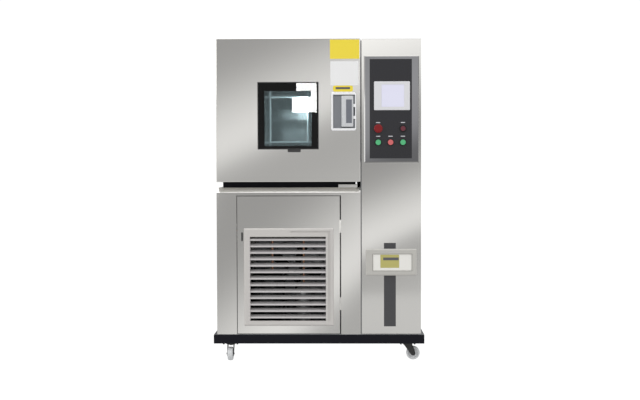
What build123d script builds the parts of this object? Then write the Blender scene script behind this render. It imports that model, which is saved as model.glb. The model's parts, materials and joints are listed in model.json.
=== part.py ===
from build123d import *
import math
import os

# Environmental test chamber: an upright stainless temperature and humidity cabinet on casters.
# Millimetres. X runs to the right, Y to the back and Z up. The origin is on the floor, below the
# middle of the cabinet. The front faces -Y.

# Overall sizes
cabinet_width = 950.0
cabinet_depth = 1000.0
chamber_height = 665.0
column_width = 275.0
column_drop = 5.0
seam_width = 5.0
sheet = 1.5
liner_sheet = 1.2
running_gap = 0.3
bearing_gap = 0.08
panel_gap = 3.0

# Base frame and casters
base_overhang_x = 15.0
base_overhang_y = 10.0
rail_height = 41.0
rail_width = 40.0
rail_sheet = 3.0
gusset_size = 90.0
gusset_thick = 4.0
caster_inset_x = 60.0
caster_inset_y = 45.0
caster_plate_x = 80.0
caster_plate_y = 62.0
caster_plate_thick = 3.0
caster_bolt_r = 4.0
kingpin_r = 5.0
kingpin_nut_r = 8.0
raceway_r = 24.0
raceway_thick = 6.0
fork_sheet = 2.5
fork_inner_width = 26.0
fork_foot_r = 11.0
caster_trail = 26.0
wheel_r = 31.5
wheel_top_gap = 8.2
wheel_width = 24.0
wheel_hub_r = 10.0
wheel_web_width = 14.0
wheel_tread = 8.0
axle_r = 4.0

# Lower cabinet
deck_top = 809.0
left_post_width = 93.0
right_post_width = 91.0
post_return = 22.0
lip_drop = 37.0
lip_face = 14.0
lip_setback = 16.0
lip_land = 34.0
plinth_height = 26.0
plinth_inset_left = 25.0
plinth_inset_right = 22.0
plinth_inset_front = 56.0
plinth_inset_back = 40.0
plinth_bar = 40.0
rest_block_width = 88.0
rest_block_depth = 40.0
rest_block_height = 15.0
rest_block_from_right = 103.0

# Service door in the lower cabinet
service_gap_right = 6.0
service_door_depth = 22.0
service_knuckle_r = 3.0
service_pin_r = 1.5
service_hinge_length = 60.0
service_hinge_rise = 110.0
grille_left_margin = 32.0
grille_right_margin = 28.0
grille_bottom_margin = 37.5
grille_top_margin = 149.0
grille_border = 27.0
grille_top_border = 39.0
grille_bottom_border = 23.0
grille_right_border = 36.0
grille_proud = 12.0
grille_bevel = 5.0
slat_count = 13
slat_lip = 7.0
slat_run = 20.0
slat_rise = 9.0
slat_sheet = 1.2
slat_setback = 5.0
latch_rise = 470.0
latch_from_grille = 10.0
latch_r = 6.5
latch_bar_width = 6.0
latch_bar_length = 40.0
latch_proud = 6.0
latch_tongue = 35.0
latch_tongue_thick = 3.0

# Chamber body
wall_left = 138.0
wall_right = 132.0
wall_top = 145.0
wall_bottom = 120.0
plenum_depth = 150.0
back_wall = 100.0
motor_room = 156.5
rim_setback = 92.0
rail_upright_width = 15.0
rail_upright_thick = 3.0
rail_ledge_width = 14.0
rail_ledge_thick = 1.5
rail_front = 60.0
rail_back = 20.0
rail_end = 15.0
rail_web = 12.0
shelf_level_low = 55.0
shelf_level_used = 172.0
shelf_level_high = 285.0
shelf_rod_r = 3.0
shelf_wire_r = 1.5
shelf_wire_count = 17
shelf_front_gap = 49.0
shelf_back_gap = 8.0
shelf_side_gap = 6.0
baffle_slot_width = 24.0
baffle_slot_pitch = 32.0
baffle_slot_height = 60.0
baffle_slot_margin = 20.0

# Cooling parts behind the baffle
evaporator_side_gap = 30.0
evaporator_height = 84.0
evaporator_depth = 80.0
evaporator_rise = 8.0
fin_pitch = 10.0
fin_groove = 3.0
fin_groove_depth = 6.0
coil_tube_r = 5.0
fan_top_gap = 17.0
fan_r = 88.0
fan_eye_r = 62.0
fan_width = 44.0
fan_blade_count = 14
fan_blade_sheet = 2.0
fan_gap = 46.0
shaft_r = 8.0
shaft_hole_r = 15.0
motor_r = 55.0
motor_length = 100.0
motor_bracket = 150.0
motor_bracket_thick = 4.0
motor_standoff = 16.0
motor_socket = 14.0

# Chamber door
door_proud = 5.0
door_gasket_gap = 12.0
door_edge_r = 4.0
window_side_margin = 193.5
window_top_margin = 203.0
window_bottom_rise = 151.0
window_edge = 4.0
window_edge_proud = 8.0
window_border = 33.0
window_border_top = 42.0
window_border_bottom = 16.0
window_bezel_back = 2.0
pane_thick = 4.0
window_tab_width = 60.0
window_tab_height = 13.0
window_tab_shift = 28.0
reveal_inset = 20.0
plug_margin = 7.0
plug_reach = 10.0
plug_round = 3.0
gasket_offset = 25.0
gasket_width = 25.0
gasket_round = 5.0
hinge_barrel_r = 7.0
hinge_pin_r = 4.0
hinge_length = 84.0
hinge_leaf = 52.0
hinge_leaf_thick = 3.0
hinge_side_gap = 0.5
upper_hinge_below_top = 130.0
lower_hinge_above_bottom = 8.0

# Door handle
handle_width = 118.0
handle_height = 177.0
handle_from_right = 19.0
handle_bottom_rise = 237.0
handle_plate = 4.0
handle_round = 10.0
tub_margin_left = 8.0
tub_margin_right = 4.0
tub_margin_z = 9.0
tub_depth = 36.0
tub_sheet = 2.0
lever_from_right = 14.0
lever_width = 55.0
lever_height = 143.0
lever_thick = 10.0
lever_round = 4.0
lever_pocket_margin_left = 21.0
lever_pocket_margin_right = 7.0
lever_pocket_margin_z = 17.0
lever_pocket_depth = 3.0
lever_grip_proud = 2.0
lever_pin_r = 3.0
lever_knuckle_r = 6.0
lever_knuckle_depth = 8.0
lever_lug_height = 40.0
lever_cheek = 14.0
lever_finger = 12.0
keeper_width = 24.0
keeper_height = 44.0
keeper_reach = 30.0
keeper_sheet = 3.0
keeper_pocket_gap = 6.0
keeper_from_cavity = 74.0

# Control panel on the column
bezel_left = 11.0
bezel_right = 9.0
bezel_top_margin = 78.0
bezel_height = 493.0
bezel_proud = 18.0
bezel_slope = 5.0
fascia_left_margin = 26.0
fascia_right_margin = 35.0
fascia_top_margin = 17.0
fascia_bottom_margin = 19.0
fascia_flange = 6.0
fascia_thick = 3.0
screen_height = 132.0
screen_left_margin = 20.0
screen_right_margin = 9.0
screen_above_buttons = 85.0
screen_proud = 5.0
screen_edge_r = 3.0
screen_view_left = 34.0
screen_view_right = 26.0
screen_view_bottom = 15.0
screen_view_top = 14.0
screen_view_depth = 1.2
screen_case_margin = 8.0
screen_case_depth = 34.0
lower_button_rise = 74.0
button_row_pitch = 63.0
button_spacing = 57.0
button_centre_shift = -1.0
collar_r = 16.0
collar_proud = 6.0
collar_bore_gap = 0.4
stop_collar_proud = 3.0
button_cap_r = 12.5
button_cap_proud = 3.0
button_travel = 4.0
button_floor = 1.2
button_stem_r = 7.0
button_barrel_r = 10.5
button_barrel_depth = 30.0
stop_cap_r = 20.0
stop_cap_thick = 9.0
stop_travel = 5.0
lamp_proud = 4.0

# Water drawer, level window and supply tank in the column
drawer_frame_left = 19.0
drawer_frame_right = 21.0
drawer_frame_bottom = 400.0
drawer_frame_height = 123.0
drawer_frame_proud = 12.0
drawer_frame_bevel = 4.0
drawer_window_left = 31.0
drawer_window_right = 21.0
drawer_window_top = 22.0
drawer_window_bottom = 21.0
drawer_face_gap = 1.0
drawer_face_thick = 6.0
drawer_face_inset = 3.0
drawer_depth = 210.0
drawer_wall = 2.5
drawer_side_gap = 4.0
drawer_top_drop = 12.0
drawer_travel = 180.0
runner_wall = 3.0
runner_height = 24.0
runner_ledge = 10.0
level_width = 55.0
level_left = 103.0
level_bottom = 162.0
level_stub = 28.0
level_flange = 5.0
level_thick = 3.0
tank_width = 215.0
tank_depth = 240.0
tank_height = 230.0
tank_wall_gap = 5.0
tank_round = 12.0

# Refrigeration unit in the lower cabinet
compressor_from_middle = 120.0
compressor_from_front = 310.0
compressor_r = 88.0
compressor_height = 236.0
compressor_round = 34.0
compressor_foot_span = 230.0
compressor_foot_thick = 4.0
grommet_r = 14.0
grommet_height = 18.0
terminal_box = 62.0
terminal_drop = 130.0
receiver_from_middle = 60.0
receiver_r = 38.0
receiver_height = 190.0
condenser_from_middle = 10.0
condenser_width = 430.0
condenser_height = 380.0
condenser_depth = 60.0
condenser_rise = 20.0
condenser_from_back = 60.0
shroud_collar_r = 160.0
shroud_collar_depth = 46.0
cooling_tip_gap = 11.0
cooling_blade_sheet = 2.4
cooling_hub_r = 38.0
cooling_fan_width = 30.0
cooling_blade_count = 5
cooling_blade_pitch = 27.0
cooling_motor_r = 42.0
cooling_motor_length = 60.0
cooling_shaft_r = 4.0
strut_width = 12.0
pipe_r = 6.0

# Side and rear fittings
port_bore_r = 25.0
port_wall = 2.0
port_flange_r = 36.0
port_flange_thick = 3.0
port_from_baffle = 152.0
port_rise = 320.0
louvre_height = 14.0
louvre_reach = 7.0
louvre_pitch = 26.0
louvre_length = 150.0
lower_louvre_rise = 174.5
lower_louvre_count = 13
lower_louvre_offset = 100.0
upper_louvre_rise = 320.0
upper_louvre_count = 9
column_louvre_drop = 315.0
column_louvre_count = 8
side_louvre_drop = 255.0
side_louvre_count = 7
side_louvre_from_back = 380.0
side_louvre_slot = 5.0
spigot_r = 8.0
spigot_bore_r = 5.5
spigot_length = 18.0
spigot_collar_r = 15.0
spigot_collar_thick = 3.0
spigot_z = 230.0
spigot_from_left = 55.0
spigot_spacing = 50.0
gland_from_right = 55.0
gland_z = 260.0
gland_r = 18.0
gland_bore_r = 9.0

# Places worked out from the sizes above
left_x = -cabinet_width / 2
right_x = cabinet_width / 2
front_y = -cabinet_depth / 2
back_y = cabinet_depth / 2
column_x = right_x - column_width
block_x = column_x - seam_width
middle_x = (left_x + block_x) / 2
caster_height = 2 * wheel_r + wheel_top_gap + fork_sheet + raceway_thick + running_gap + caster_plate_thick
base_top = caster_height + rail_height
floor_top = base_top + sheet
chamber_bottom = deck_top + plinth_height
chamber_top = chamber_bottom + chamber_height
column_top = chamber_top - column_drop
rim_y = front_y + rim_setback
door_back_y = rim_y - door_gasket_gap
door_front_y = front_y - door_proud
cavity_left = left_x + wall_left
cavity_right = block_x - wall_right
cavity_bottom = chamber_bottom + wall_bottom
cavity_top = chamber_top - wall_top
foam_back_y = back_y - sheet - motor_room
liner_back_y = foam_back_y - back_wall
baffle_y = liner_back_y - plenum_depth
port_y = baffle_y - port_from_baffle
partition_x = block_x + seam_width / 2
lip_bottom = deck_top - lip_drop
service_right = block_x - right_post_width - service_gap_right
service_left = left_x + left_post_width + panel_gap
service_top = lip_bottom - panel_gap
service_bottom = floor_top + panel_gap
grille_left = service_left + grille_left_margin
grille_width = service_right - grille_right_margin - grille_left
grille_bottom = service_bottom + grille_bottom_margin
grille_height = service_top - grille_top_margin - grille_bottom
handle_right = block_x - handle_from_right
handle_left = handle_right - handle_width
handle_bottom = chamber_bottom + handle_bottom_rise
fan_x = (cavity_left + cavity_right) / 2
fan_z = cavity_top - fan_top_gap - fan_r
fan_front_y = baffle_y + fan_gap
evaporator_width = cavity_right - cavity_left - 2 * evaporator_side_gap
shelf_z = cavity_bottom + shelf_level_used
bezel_width = column_width - bezel_left - bezel_right
bezel_bottom = column_top - bezel_top_margin - bezel_height
drawer_frame_width = column_width - drawer_frame_left - drawer_frame_right
compressor_x = middle_x - compressor_from_middle
compressor_y = front_y + compressor_from_front
receiver_x = middle_x + receiver_from_middle
condenser_x = middle_x - condenser_from_middle
spigot_first_x = left_x + spigot_from_left
gland_x = right_x - gland_from_right


def block(x0, x1, y0, y1, z0, z1):
    """Rectangular solid between two corners."""
    middle = Pos((x0 + x1) / 2, (y0 + y1) / 2, (z0 + z1) / 2)
    return middle * Box(x1 - x0, y1 - y0, z1 - z0)


def rod_x(x0, x1, y, z, r):
    """Round bar along X."""
    return Pos((x0 + x1) / 2, y, z) * Rot(0, 90, 0) * Cylinder(r, x1 - x0)


def rod_y(y0, y1, x, z, r):
    """Round bar along Y."""
    return Pos(x, (y0 + y1) / 2, z) * Rot(90, 0, 0) * Cylinder(r, y1 - y0)


def rod_z(z0, z1, x, y, r):
    """Round bar along Z."""
    return Pos(x, y, (z0 + z1) / 2) * Cylinder(r, z1 - z0)


def prism_x(points, x0, x1):
    """Outline of (y, z) points, drawn out along X."""
    plane = Plane(origin=(x0, 0, 0), x_dir=(0, 1, 0), z_dir=(1, 0, 0))
    face = make_face(Polyline(*points, close=True))
    return extrude(plane * face, amount=x1 - x0, dir=(1, 0, 0))


def prism_y(points, y0, y1):
    """Outline of (x, z) points, drawn out along Y."""
    plane = Plane(origin=(0, y0, 0), x_dir=(1, 0, 0), z_dir=(0, -1, 0))
    face = make_face(Polyline(*points, close=True))
    return extrude(plane * face, amount=y1 - y0, dir=(0, 1, 0))


def prism_z(points, z0, z1):
    """Outline of (x, y) points, drawn out along Z."""
    face = make_face(Polyline(*points, close=True))
    return extrude(Pos(0, 0, z0) * face, amount=z1 - z0, dir=(0, 0, 1))


def bent_outline(points, thickness):
    """Section of a sheet folded along the points, with its thickness on their left side."""
    normals = []
    for (ax, ay), (bx, by) in zip(points, points[1:]):
        length = math.hypot(bx - ax, by - ay)
        normals.append((-(by - ay) / length, (bx - ax) / length))
    inner = []
    for i, (px, py) in enumerate(points):
        before = normals[max(i - 1, 0)]
        after = normals[min(i, len(normals) - 1)]
        share = thickness / (1 + before[0] * after[0] + before[1] * after[1])
        inner.append((px + (before[0] + after[0]) * share, py + (before[1] + after[1]) * share))
    return list(points) + inner[::-1]


def mirror_x(shape):
    """The same shape on the other side of the cabinet."""
    return mirror(shape, about=Plane.YZ)


def mirror_y(shape):
    """The same shape at the other end, front to back."""
    return mirror(shape, about=Plane.XZ)


def place_at(shape, x, y, z):
    """Shape moved to a place."""
    return Pos(x, y, z) * shape


def whole(*shapes):
    """Shapes fused into one solid."""
    solid = shapes[0]
    for other in shapes[1:]:
        solid = solid + other
    return solid


def side_by_side(shapes):
    """Separate solids that share one node."""
    solids = []
    for shape in shapes:
        solids.extend(shape.solids())
    return Compound(children=solids)


def base_frame():
    """Black channels round the edge, two cross channels and four corner plates."""
    out_x = right_x + base_overhang_x
    out_y = back_y + base_overhang_y
    in_x = out_x - rail_width
    in_y = out_y - rail_width
    top = base_top
    low = caster_height
    channel = [(-in_y, top), (-out_y, top), (-out_y, low), (-in_y, low)]
    front = prism_x(bent_outline(channel, rail_sheet), -out_x, out_x)
    channel = [(-in_x, top), (-out_x, top), (-out_x, low), (-in_x, low)]
    side = prism_y(bent_outline(channel, rail_sheet), -in_y, in_y)
    half = rail_width / 2
    channel = [(column_x + half, low), (column_x + half, top), (column_x - half, top), (column_x - half, low)]
    long_cross = prism_y(bent_outline(channel, rail_sheet), -in_y, in_y)
    channel = [(half, low), (half, top), (-half, top), (-half, low)]
    short_cross = prism_x(bent_outline(channel, rail_sheet), -in_x, column_x - half)
    gusset = block(in_x - gusset_size, in_x, in_y - gusset_size, in_y, low, low + gusset_thick)
    gussets = [gusset, mirror_x(gusset), mirror_y(gusset), mirror_x(mirror_y(gusset))]
    return side_by_side([front, mirror_y(front), side, mirror_x(side), long_cross, short_cross] + gussets)


def caster_places():
    """Name and centre of each caster, with the side that its wheel trails to."""
    x = right_x - caster_inset_x
    y = back_y - caster_inset_y
    return [
        ("front_left", -x, -y, -90),
        ("front_right", x, -y, 0),
        ("back_left", -x, y, 90),
        ("back_right", x, y, 90),
    ]


def caster_plates():
    """Four top plates, each with a kingpin under it."""
    plates = []
    top = caster_height
    low = top - caster_plate_thick
    pin_end = low - raceway_thick - 2 * running_gap - caster_plate_thick
    for name, x, y, turn in caster_places():
        plate = Pos(x, y, (top + low) / 2) * Box(caster_plate_x, caster_plate_y, caster_plate_thick)
        plate = fillet(plate.edges().filter_by(Axis.Z), caster_plate_thick * 2)
        for sx in (-1, 1):
            for sy in (-1, 1):
                bolt_x = x + sx * (caster_plate_x / 2 - 2 * caster_bolt_r)
                bolt_y = y + sy * (caster_plate_y / 2 - 2 * caster_bolt_r)
                plate = plate + rod_z(low - 2 * caster_plate_thick, low, bolt_x, bolt_y, caster_bolt_r)
        pin = rod_z(pin_end, low, x, y, kingpin_r)
        nut = rod_z(pin_end - caster_plate_thick, pin_end, x, y, kingpin_nut_r)
        plates.append(whole(plate, pin, nut))
    return side_by_side(plates)


def fork_shape():
    """Swivel fork about its kingpin, its wheel trailing towards +X, its axle across Y."""
    top = caster_height - caster_plate_thick - running_gap
    cap = rod_z(top - raceway_thick, top, 0, 0, raceway_r)
    half = fork_inner_width / 2
    crown = top - raceway_thick
    leg_outline = [
        (-raceway_r * 0.8, crown),
        (raceway_r * 0.9, crown),
        (caster_trail + fork_foot_r, wheel_r),
        (caster_trail + fork_foot_r * 0.6, wheel_r - fork_foot_r),
        (caster_trail - fork_foot_r * 0.6, wheel_r - fork_foot_r),
    ]
    fork = cap + rod_z(crown - fork_sheet, crown, 0, 0, raceway_r * 0.8)
    bridge = block(-raceway_r * 0.8, raceway_r * 0.6, -half - fork_sheet, half + fork_sheet, crown - fork_sheet, crown)
    fork = fork + bridge
    for side in (-1, 1):
        inner = side * half
        outer = side * (half + fork_sheet)
        fork = fork + prism_y(leg_outline, min(inner, outer), max(inner, outer))
    fork = fork - rod_z(crown - 2 * fork_sheet, top + 1, 0, 0, kingpin_r + bearing_gap)
    reach = half + fork_sheet + 3
    return fork + rod_y(-reach, reach, caster_trail, wheel_r, axle_r)


def wheel_shape():
    """Wheel with a rounded tread, a thinner web and a hub, about its axle along Y."""
    half = wheel_width / 2
    web = wheel_web_width / 2
    rim_r = wheel_r - wheel_tread
    bore = axle_r + bearing_gap
    section = [
        (bore, half),
        (wheel_hub_r, half),
        (wheel_hub_r + 1.5, web),
        (rim_r - 2, web),
        (rim_r, half),
        (wheel_r - 4, half),
        (wheel_r - 1, half - 3),
        (wheel_r, half - 7),
        (wheel_r, 7 - half),
        (wheel_r - 1, 3 - half),
        (wheel_r - 4, -half),
        (rim_r, -half),
        (rim_r - 2, -web),
        (wheel_hub_r + 1.5, -web),
        (wheel_hub_r, -half),
        (bore, -half),
    ]
    ring = revolve(Plane.XZ * make_face(Polyline(*section, close=True)), Axis.Z)
    return Pos(caster_trail, 0, wheel_r) * Rot(90, 0, 0) * ring


def floor_and_partition():
    """Floor sheet of the cabinet and the upright sheet between the column and the rest."""
    floor = block(left_x, right_x, front_y, back_y, base_top, floor_top)
    inset = 2 * sheet
    half = sheet / 2
    wall = block(
        partition_x - half, partition_x + half, front_y + inset, back_y - inset, floor_top, column_top - sheet
    )
    return side_by_side([floor, wall])


def lower_front_frame():
    """Left post, right post and bevelled lip round the service door, and the bright rest block."""
    inner_left = left_x + sheet
    back = front_y + post_return
    left_line = [(inner_left, front_y), (left_x + left_post_width, front_y), (left_x + left_post_width, back)]
    left_post = prism_z(bent_outline(left_line, sheet), floor_top, lip_bottom)
    post_x = block_x - right_post_width
    right_line = [(post_x, back), (post_x, front_y), (block_x, front_y), (block_x, back)]
    right_post = prism_z(bent_outline(right_line, sheet), floor_top, lip_bottom)
    land = front_y + lip_setback
    lip_line = [
        (land + lip_land, deck_top),
        (land, deck_top),
        (front_y, deck_top - lip_drop + lip_face),
        (front_y, lip_bottom),
        (back, lip_bottom),
    ]
    lip = prism_x(bent_outline(lip_line, sheet), inner_left, block_x)
    rest_x = block_x - rest_block_from_right
    rest = block(
        rest_x, rest_x + rest_block_width, land, land + rest_block_depth, deck_top, deck_top + rest_block_height
    )
    rest = fillet(rest.edges().group_by(Axis.Z)[-1], 3)
    pins = service_fixed_knuckles(post_x)
    return side_by_side([left_post, right_post, lip, rest] + pins)


def service_hinge_places():
    """Bottom of each service door hinge."""
    top_one = service_top - service_hinge_rise - service_hinge_length
    return [service_bottom + service_hinge_rise, top_one]


def service_pin_place():
    """Line of the service door's pin, in the gap beside the right post."""
    return (service_right + service_gap_right / 2, front_y - service_knuckle_r)


def service_fixed_knuckles(post_x):
    """Outer knuckles and pin of each service hinge, with a small leaf on the right post."""
    pin_x, pin_y = service_pin_place()
    third = service_hinge_length / 3
    knuckles = []
    for low in service_hinge_places():
        high = low + service_hinge_length
        pin = rod_z(low, high, pin_x, pin_y, service_pin_r)
        lower = rod_z(low, low + third - running_gap, pin_x, pin_y, service_knuckle_r)
        upper = rod_z(high - third + running_gap, high, pin_x, pin_y, service_knuckle_r)
        leaf_y = front_y - 1.0
        leaf_low = block(pin_x, post_x + 3 * service_knuckle_r, leaf_y, front_y, low, low + third - running_gap)
        leaf_high = block(pin_x, post_x + 3 * service_knuckle_r, leaf_y, front_y, high - third + running_gap, high)
        knuckles.append(whole(pin, lower, upper, leaf_low, leaf_high))
    return knuckles


def service_door_panel():
    """Tray-shaped door with a hole for the louvres, turned edges and its hinge knuckles."""
    back = front_y + service_door_depth
    tray = block(service_left, service_right, front_y, back, service_bottom, service_top)
    tray = tray - block(
        service_left + sheet,
        service_right - sheet,
        front_y + sheet,
        back + 1,
        service_bottom + sheet,
        service_top - sheet,
    )
    x0, x1, z0, z1 = grille_window()
    tray = tray - block(x0, x1, front_y - 1, back, z0, z1)
    latch_x, latch_z = latch_place()
    tray = tray - rod_y(front_y - 1, back, latch_x, latch_z, latch_r / 2 + bearing_gap)
    pin_x, pin_y = service_pin_place()
    third = service_hinge_length / 3
    for low in service_hinge_places():
        z_low = low + third
        z_high = low + 2 * third
        knuckle = rod_z(z_low, z_high, pin_x, pin_y, service_knuckle_r)
        leaf = block(service_right - 3 * service_knuckle_r, pin_x, front_y - 1.0, front_y, z_low, z_high)
        bore = rod_z(z_low - 1, z_high + 1, pin_x, pin_y, service_pin_r + bearing_gap)
        tray = tray + (knuckle + leaf - bore)
    return tray


def grille_window():
    """Opening of the louvre frame: its two X limits and its two Z limits."""
    x0 = grille_left + grille_border
    x1 = grille_left + grille_width - grille_right_border
    z0 = grille_bottom + grille_bottom_border
    z1 = grille_bottom + grille_height - grille_top_border
    return x0, x1, z0, z1


def grille_frame():
    """Bevelled surround of the louvres, with a raised inner rim on its right side."""
    out_y = front_y - grille_proud
    outer = block(
        grille_left, grille_left + grille_width, out_y, front_y, grille_bottom, grille_bottom + grille_height
    )
    outer = chamfer(outer.faces().sort_by(Axis.Y)[0].edges(), grille_bevel)
    x0, x1, z0, z1 = grille_window()
    outer = outer - block(x0, x1, out_y - 1, front_y + 1, z0, z1)
    groove_x = x1 + grille_right_border * 0.3
    groove = block(
        groove_x, groove_x + grille_right_border * 0.25, out_y - 1, out_y + 3, z0, grille_bottom + grille_height - 12
    )
    top_groove = block(
        grille_left + grille_width * 0.52, groove_x, out_y - 1, out_y + 3, z1 + 18, grille_bottom + grille_height - 12
    )
    return outer - groove - top_groove


def grille_slats():
    """Louvre blades, each a bent strip, between two side strips that carry them."""
    x0, x1, z0, z1 = grille_window()
    pitch = (z1 - z0) / slat_count
    front = front_y - grille_proud + slat_setback
    strip_back = front + slat_run + 2
    slats = []
    for side_x in (x0, x1 - slat_sheet):
        slats.append(block(side_x, side_x + slat_sheet, front, strip_back, z0, z1))
    for i in range(slat_count):
        low = z0 + (i + 0.5) * pitch - slat_lip / 2
        line = [(front, low), (front, low + slat_lip), (front + slat_run, low + slat_lip + slat_rise)]
        section = bent_outline(line[::-1], slat_sheet)
        slats.append(prism_x(section, x0 + slat_sheet / 2, x1 - slat_sheet / 2))
    return whole(*slats)


def latch_place():
    """Centre of the service latch, beside the louvre frame."""
    return grille_left - latch_from_grille, service_bottom + latch_rise


def service_latch():
    """Quarter-turn latch: finger bar and tongue hang down, and turn to the left to hold the door."""
    x, z = latch_place()
    out_y = front_y - latch_proud
    half = latch_bar_width / 2
    bar = block(x - half, x + half, out_y, front_y - running_gap, z + half - latch_bar_length, z + half)
    bar = fillet(bar.edges().filter_by(Axis.Y), half * 0.9)
    tongue_y = front_y + post_return + running_gap
    tongue_back = tongue_y + latch_tongue_thick
    shaft = rod_y(front_y - running_gap, tongue_back, x, z, latch_r / 2)
    tongue = block(x - latch_r / 2, x + latch_r / 2, tongue_y, tongue_back, z - latch_tongue, z + latch_r / 2)
    return whole(bar, shaft, tongue)


def lower_side_panel():
    """Left side sheet of the lower cabinet, cut to the lip's bevel at its front top corner."""
    land = front_y + lip_setback
    outline = [
        (front_y, floor_top),
        (front_y, lip_bottom + lip_face),
        (land, deck_top),
        (back_y - sheet, deck_top),
        (back_y - sheet, floor_top),
    ]
    return prism_x(outline, left_x, left_x + sheet)


def chamber_plinth():
    """Deck sheet of the lower cabinet with four dark bars that carry the chamber."""
    deck_front = front_y + lip_setback + lip_land
    deck = block(left_x + sheet, block_x, deck_front, back_y - sheet, deck_top - sheet, deck_top)
    x0 = left_x + plinth_inset_left
    x1 = block_x - plinth_inset_right
    y0 = front_y + plinth_inset_front
    y1 = back_y - plinth_inset_back
    bars = [
        block(x0, x1, y0, y0 + plinth_bar, deck_top, chamber_bottom),
        block(x0, x1, y1 - plinth_bar, y1, deck_top, chamber_bottom),
        block(x0, x0 + plinth_bar, y0 + plinth_bar, y1 - plinth_bar, deck_top, chamber_bottom),
        block(x1 - plinth_bar, x1, y0 + plinth_bar, y1 - plinth_bar, deck_top, chamber_bottom),
    ]
    return side_by_side([deck] + bars)


def port_hole(r):
    """Round cutter through the chamber's left wall, where the cable port sits."""
    z = chamber_bottom + port_rise
    return rod_x(left_x - 20, cavity_left + 20, port_y, z, r)


def chamber_shell():
    """Outer sheets of the chamber: two sides, top and bottom."""
    back = back_y - sheet
    left = block(left_x, left_x + sheet, rim_y, back, chamber_bottom, chamber_top)
    left = left - port_hole(port_bore_r + port_wall)
    right = block(block_x - sheet, block_x, rim_y, back, chamber_bottom, chamber_top)
    top = block(left_x + sheet, block_x - sheet, rim_y, back, chamber_top - sheet, chamber_top)
    bottom = block(left_x + sheet, block_x - sheet, rim_y, back, chamber_bottom, chamber_bottom + sheet)
    return side_by_side([left, right, top, bottom])


def chamber_insulation():
    """Foam boards round the liner: left, right, top, bottom and back."""
    x0 = left_x + sheet
    x1 = block_x - sheet
    z0 = chamber_bottom + sheet
    z1 = chamber_top - sheet
    y0 = rim_y + liner_sheet
    in_x0 = cavity_left - liner_sheet
    in_x1 = cavity_right + liner_sheet
    in_z0 = cavity_bottom - liner_sheet
    in_z1 = cavity_top + liner_sheet
    in_y = liner_back_y + liner_sheet
    left = block(x0, in_x0, y0, foam_back_y, z0, z1) - port_hole(port_bore_r + port_wall)
    right = block(in_x1, x1, y0, foam_back_y, z0, z1)
    top = block(in_x0, in_x1, y0, foam_back_y, in_z1, z1)
    bottom = block(in_x0, in_x1, y0, foam_back_y, z0, in_z0)
    back = block(in_x0, in_x1, in_y, foam_back_y, in_z0, in_z1)
    back = back - rod_y(in_y - 1, foam_back_y + 1, fan_x, fan_z, shaft_hole_r)
    return side_by_side([left, right, top, bottom, back])


def chamber_liner():
    """Inner tank with a flange over the chamber's front rim."""
    flange = block(
        left_x + sheet,
        block_x - sheet,
        rim_y,
        rim_y + liner_sheet,
        chamber_bottom + sheet,
        chamber_top - sheet,
    )
    t = liner_sheet
    tank = block(
        cavity_left - t, cavity_right + t, rim_y, liner_back_y + t, cavity_bottom - t, cavity_top + t
    )
    hollow = block(cavity_left, cavity_right, rim_y - 1, liner_back_y, cavity_bottom, cavity_top)
    liner = flange + tank - hollow
    liner = liner - rod_y(liner_back_y - 1, liner_back_y + t + 1, fan_x, fan_z, shaft_hole_r)
    return liner - port_hole(port_bore_r + port_wall)


def port_sleeve():
    """Tube through the left wall with a flange outside."""
    z = chamber_bottom + port_rise
    tube = rod_x(left_x, cavity_left, port_y, z, port_bore_r + port_wall)
    flange = rod_x(left_x - port_flange_thick, left_x, port_y, z, port_flange_r)
    return tube + flange - port_hole(port_bore_r)


def shelf_rails():
    """Two uprights on each side wall of the tank, and an angle at each shelf level on their faces."""
    front = rim_y + rail_front
    back = baffle_y - rail_back
    face = cavity_left + rail_upright_thick
    left = []
    for y in (front + rail_end, back - rail_end - rail_upright_width):
        left.append(block(cavity_left, face, y, y + rail_upright_width, cavity_bottom, cavity_top))
    for level in (shelf_level_low, shelf_level_used, shelf_level_high):
        top = cavity_bottom + level - shelf_rod_r - running_gap
        flat = block(face, cavity_left + rail_ledge_width, front, back, top - rail_ledge_thick, top)
        web = block(face, face + rail_ledge_thick, front, back, top - rail_web, top)
        left.append(flat + web)
    middle = Plane(origin=(fan_x, 0, 0), z_dir=(1, 0, 0))
    return side_by_side(left + [mirror(piece, about=middle) for piece in left])


def wire_shelf():
    """Wire shelf: a rod frame, two cross rods and wires from front to back."""
    x0 = cavity_left + shelf_side_gap + shelf_rod_r
    x1 = cavity_right - shelf_side_gap - shelf_rod_r
    y1 = baffle_y - shelf_back_gap - shelf_rod_r
    y0 = rim_y + shelf_front_gap
    z = shelf_z
    rods = [rod_y(y0, y1, x0, z, shelf_rod_r), rod_y(y0, y1, x1, z, shelf_rod_r)]
    third = (y1 - y0) / 3
    for y in (y0, y0 + third, y1 - third, y1):
        rods.append(rod_x(x0, x1, y, z, shelf_rod_r))
    for x in (x0, x1):
        for y in (y0, y1):
            rods.append(Pos(x, y, z) * Sphere(shelf_rod_r))
    step = (x1 - x0) / (shelf_wire_count + 1)
    for i in range(shelf_wire_count):
        rods.append(rod_y(y0, y1, x0 + (i + 1) * step, z + shelf_rod_r, shelf_wire_r))
    return rods[0] + rods[1:]


def air_baffle():
    """Sheet in front of the coil and the fan, with a row of slots at its top and bottom."""
    sheet_block = block(cavity_left, cavity_right, baffle_y, baffle_y + liner_sheet, cavity_bottom, cavity_top)
    rows = (
        cavity_bottom + baffle_slot_margin,
        cavity_top - baffle_slot_margin - baffle_slot_height,
    )
    room = cavity_right - cavity_left - 2 * baffle_slot_margin - baffle_slot_width
    count = int(room / baffle_slot_pitch) + 1
    first = fan_x - (count - 1) * baffle_slot_pitch / 2
    for low in rows:
        for i in range(count):
            x = first + i * baffle_slot_pitch - baffle_slot_width / 2
            sheet_block = sheet_block - block(
                x, x + baffle_slot_width, baffle_y - 1, baffle_y + 5, low, low + baffle_slot_height
            )
    return sheet_block


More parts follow.
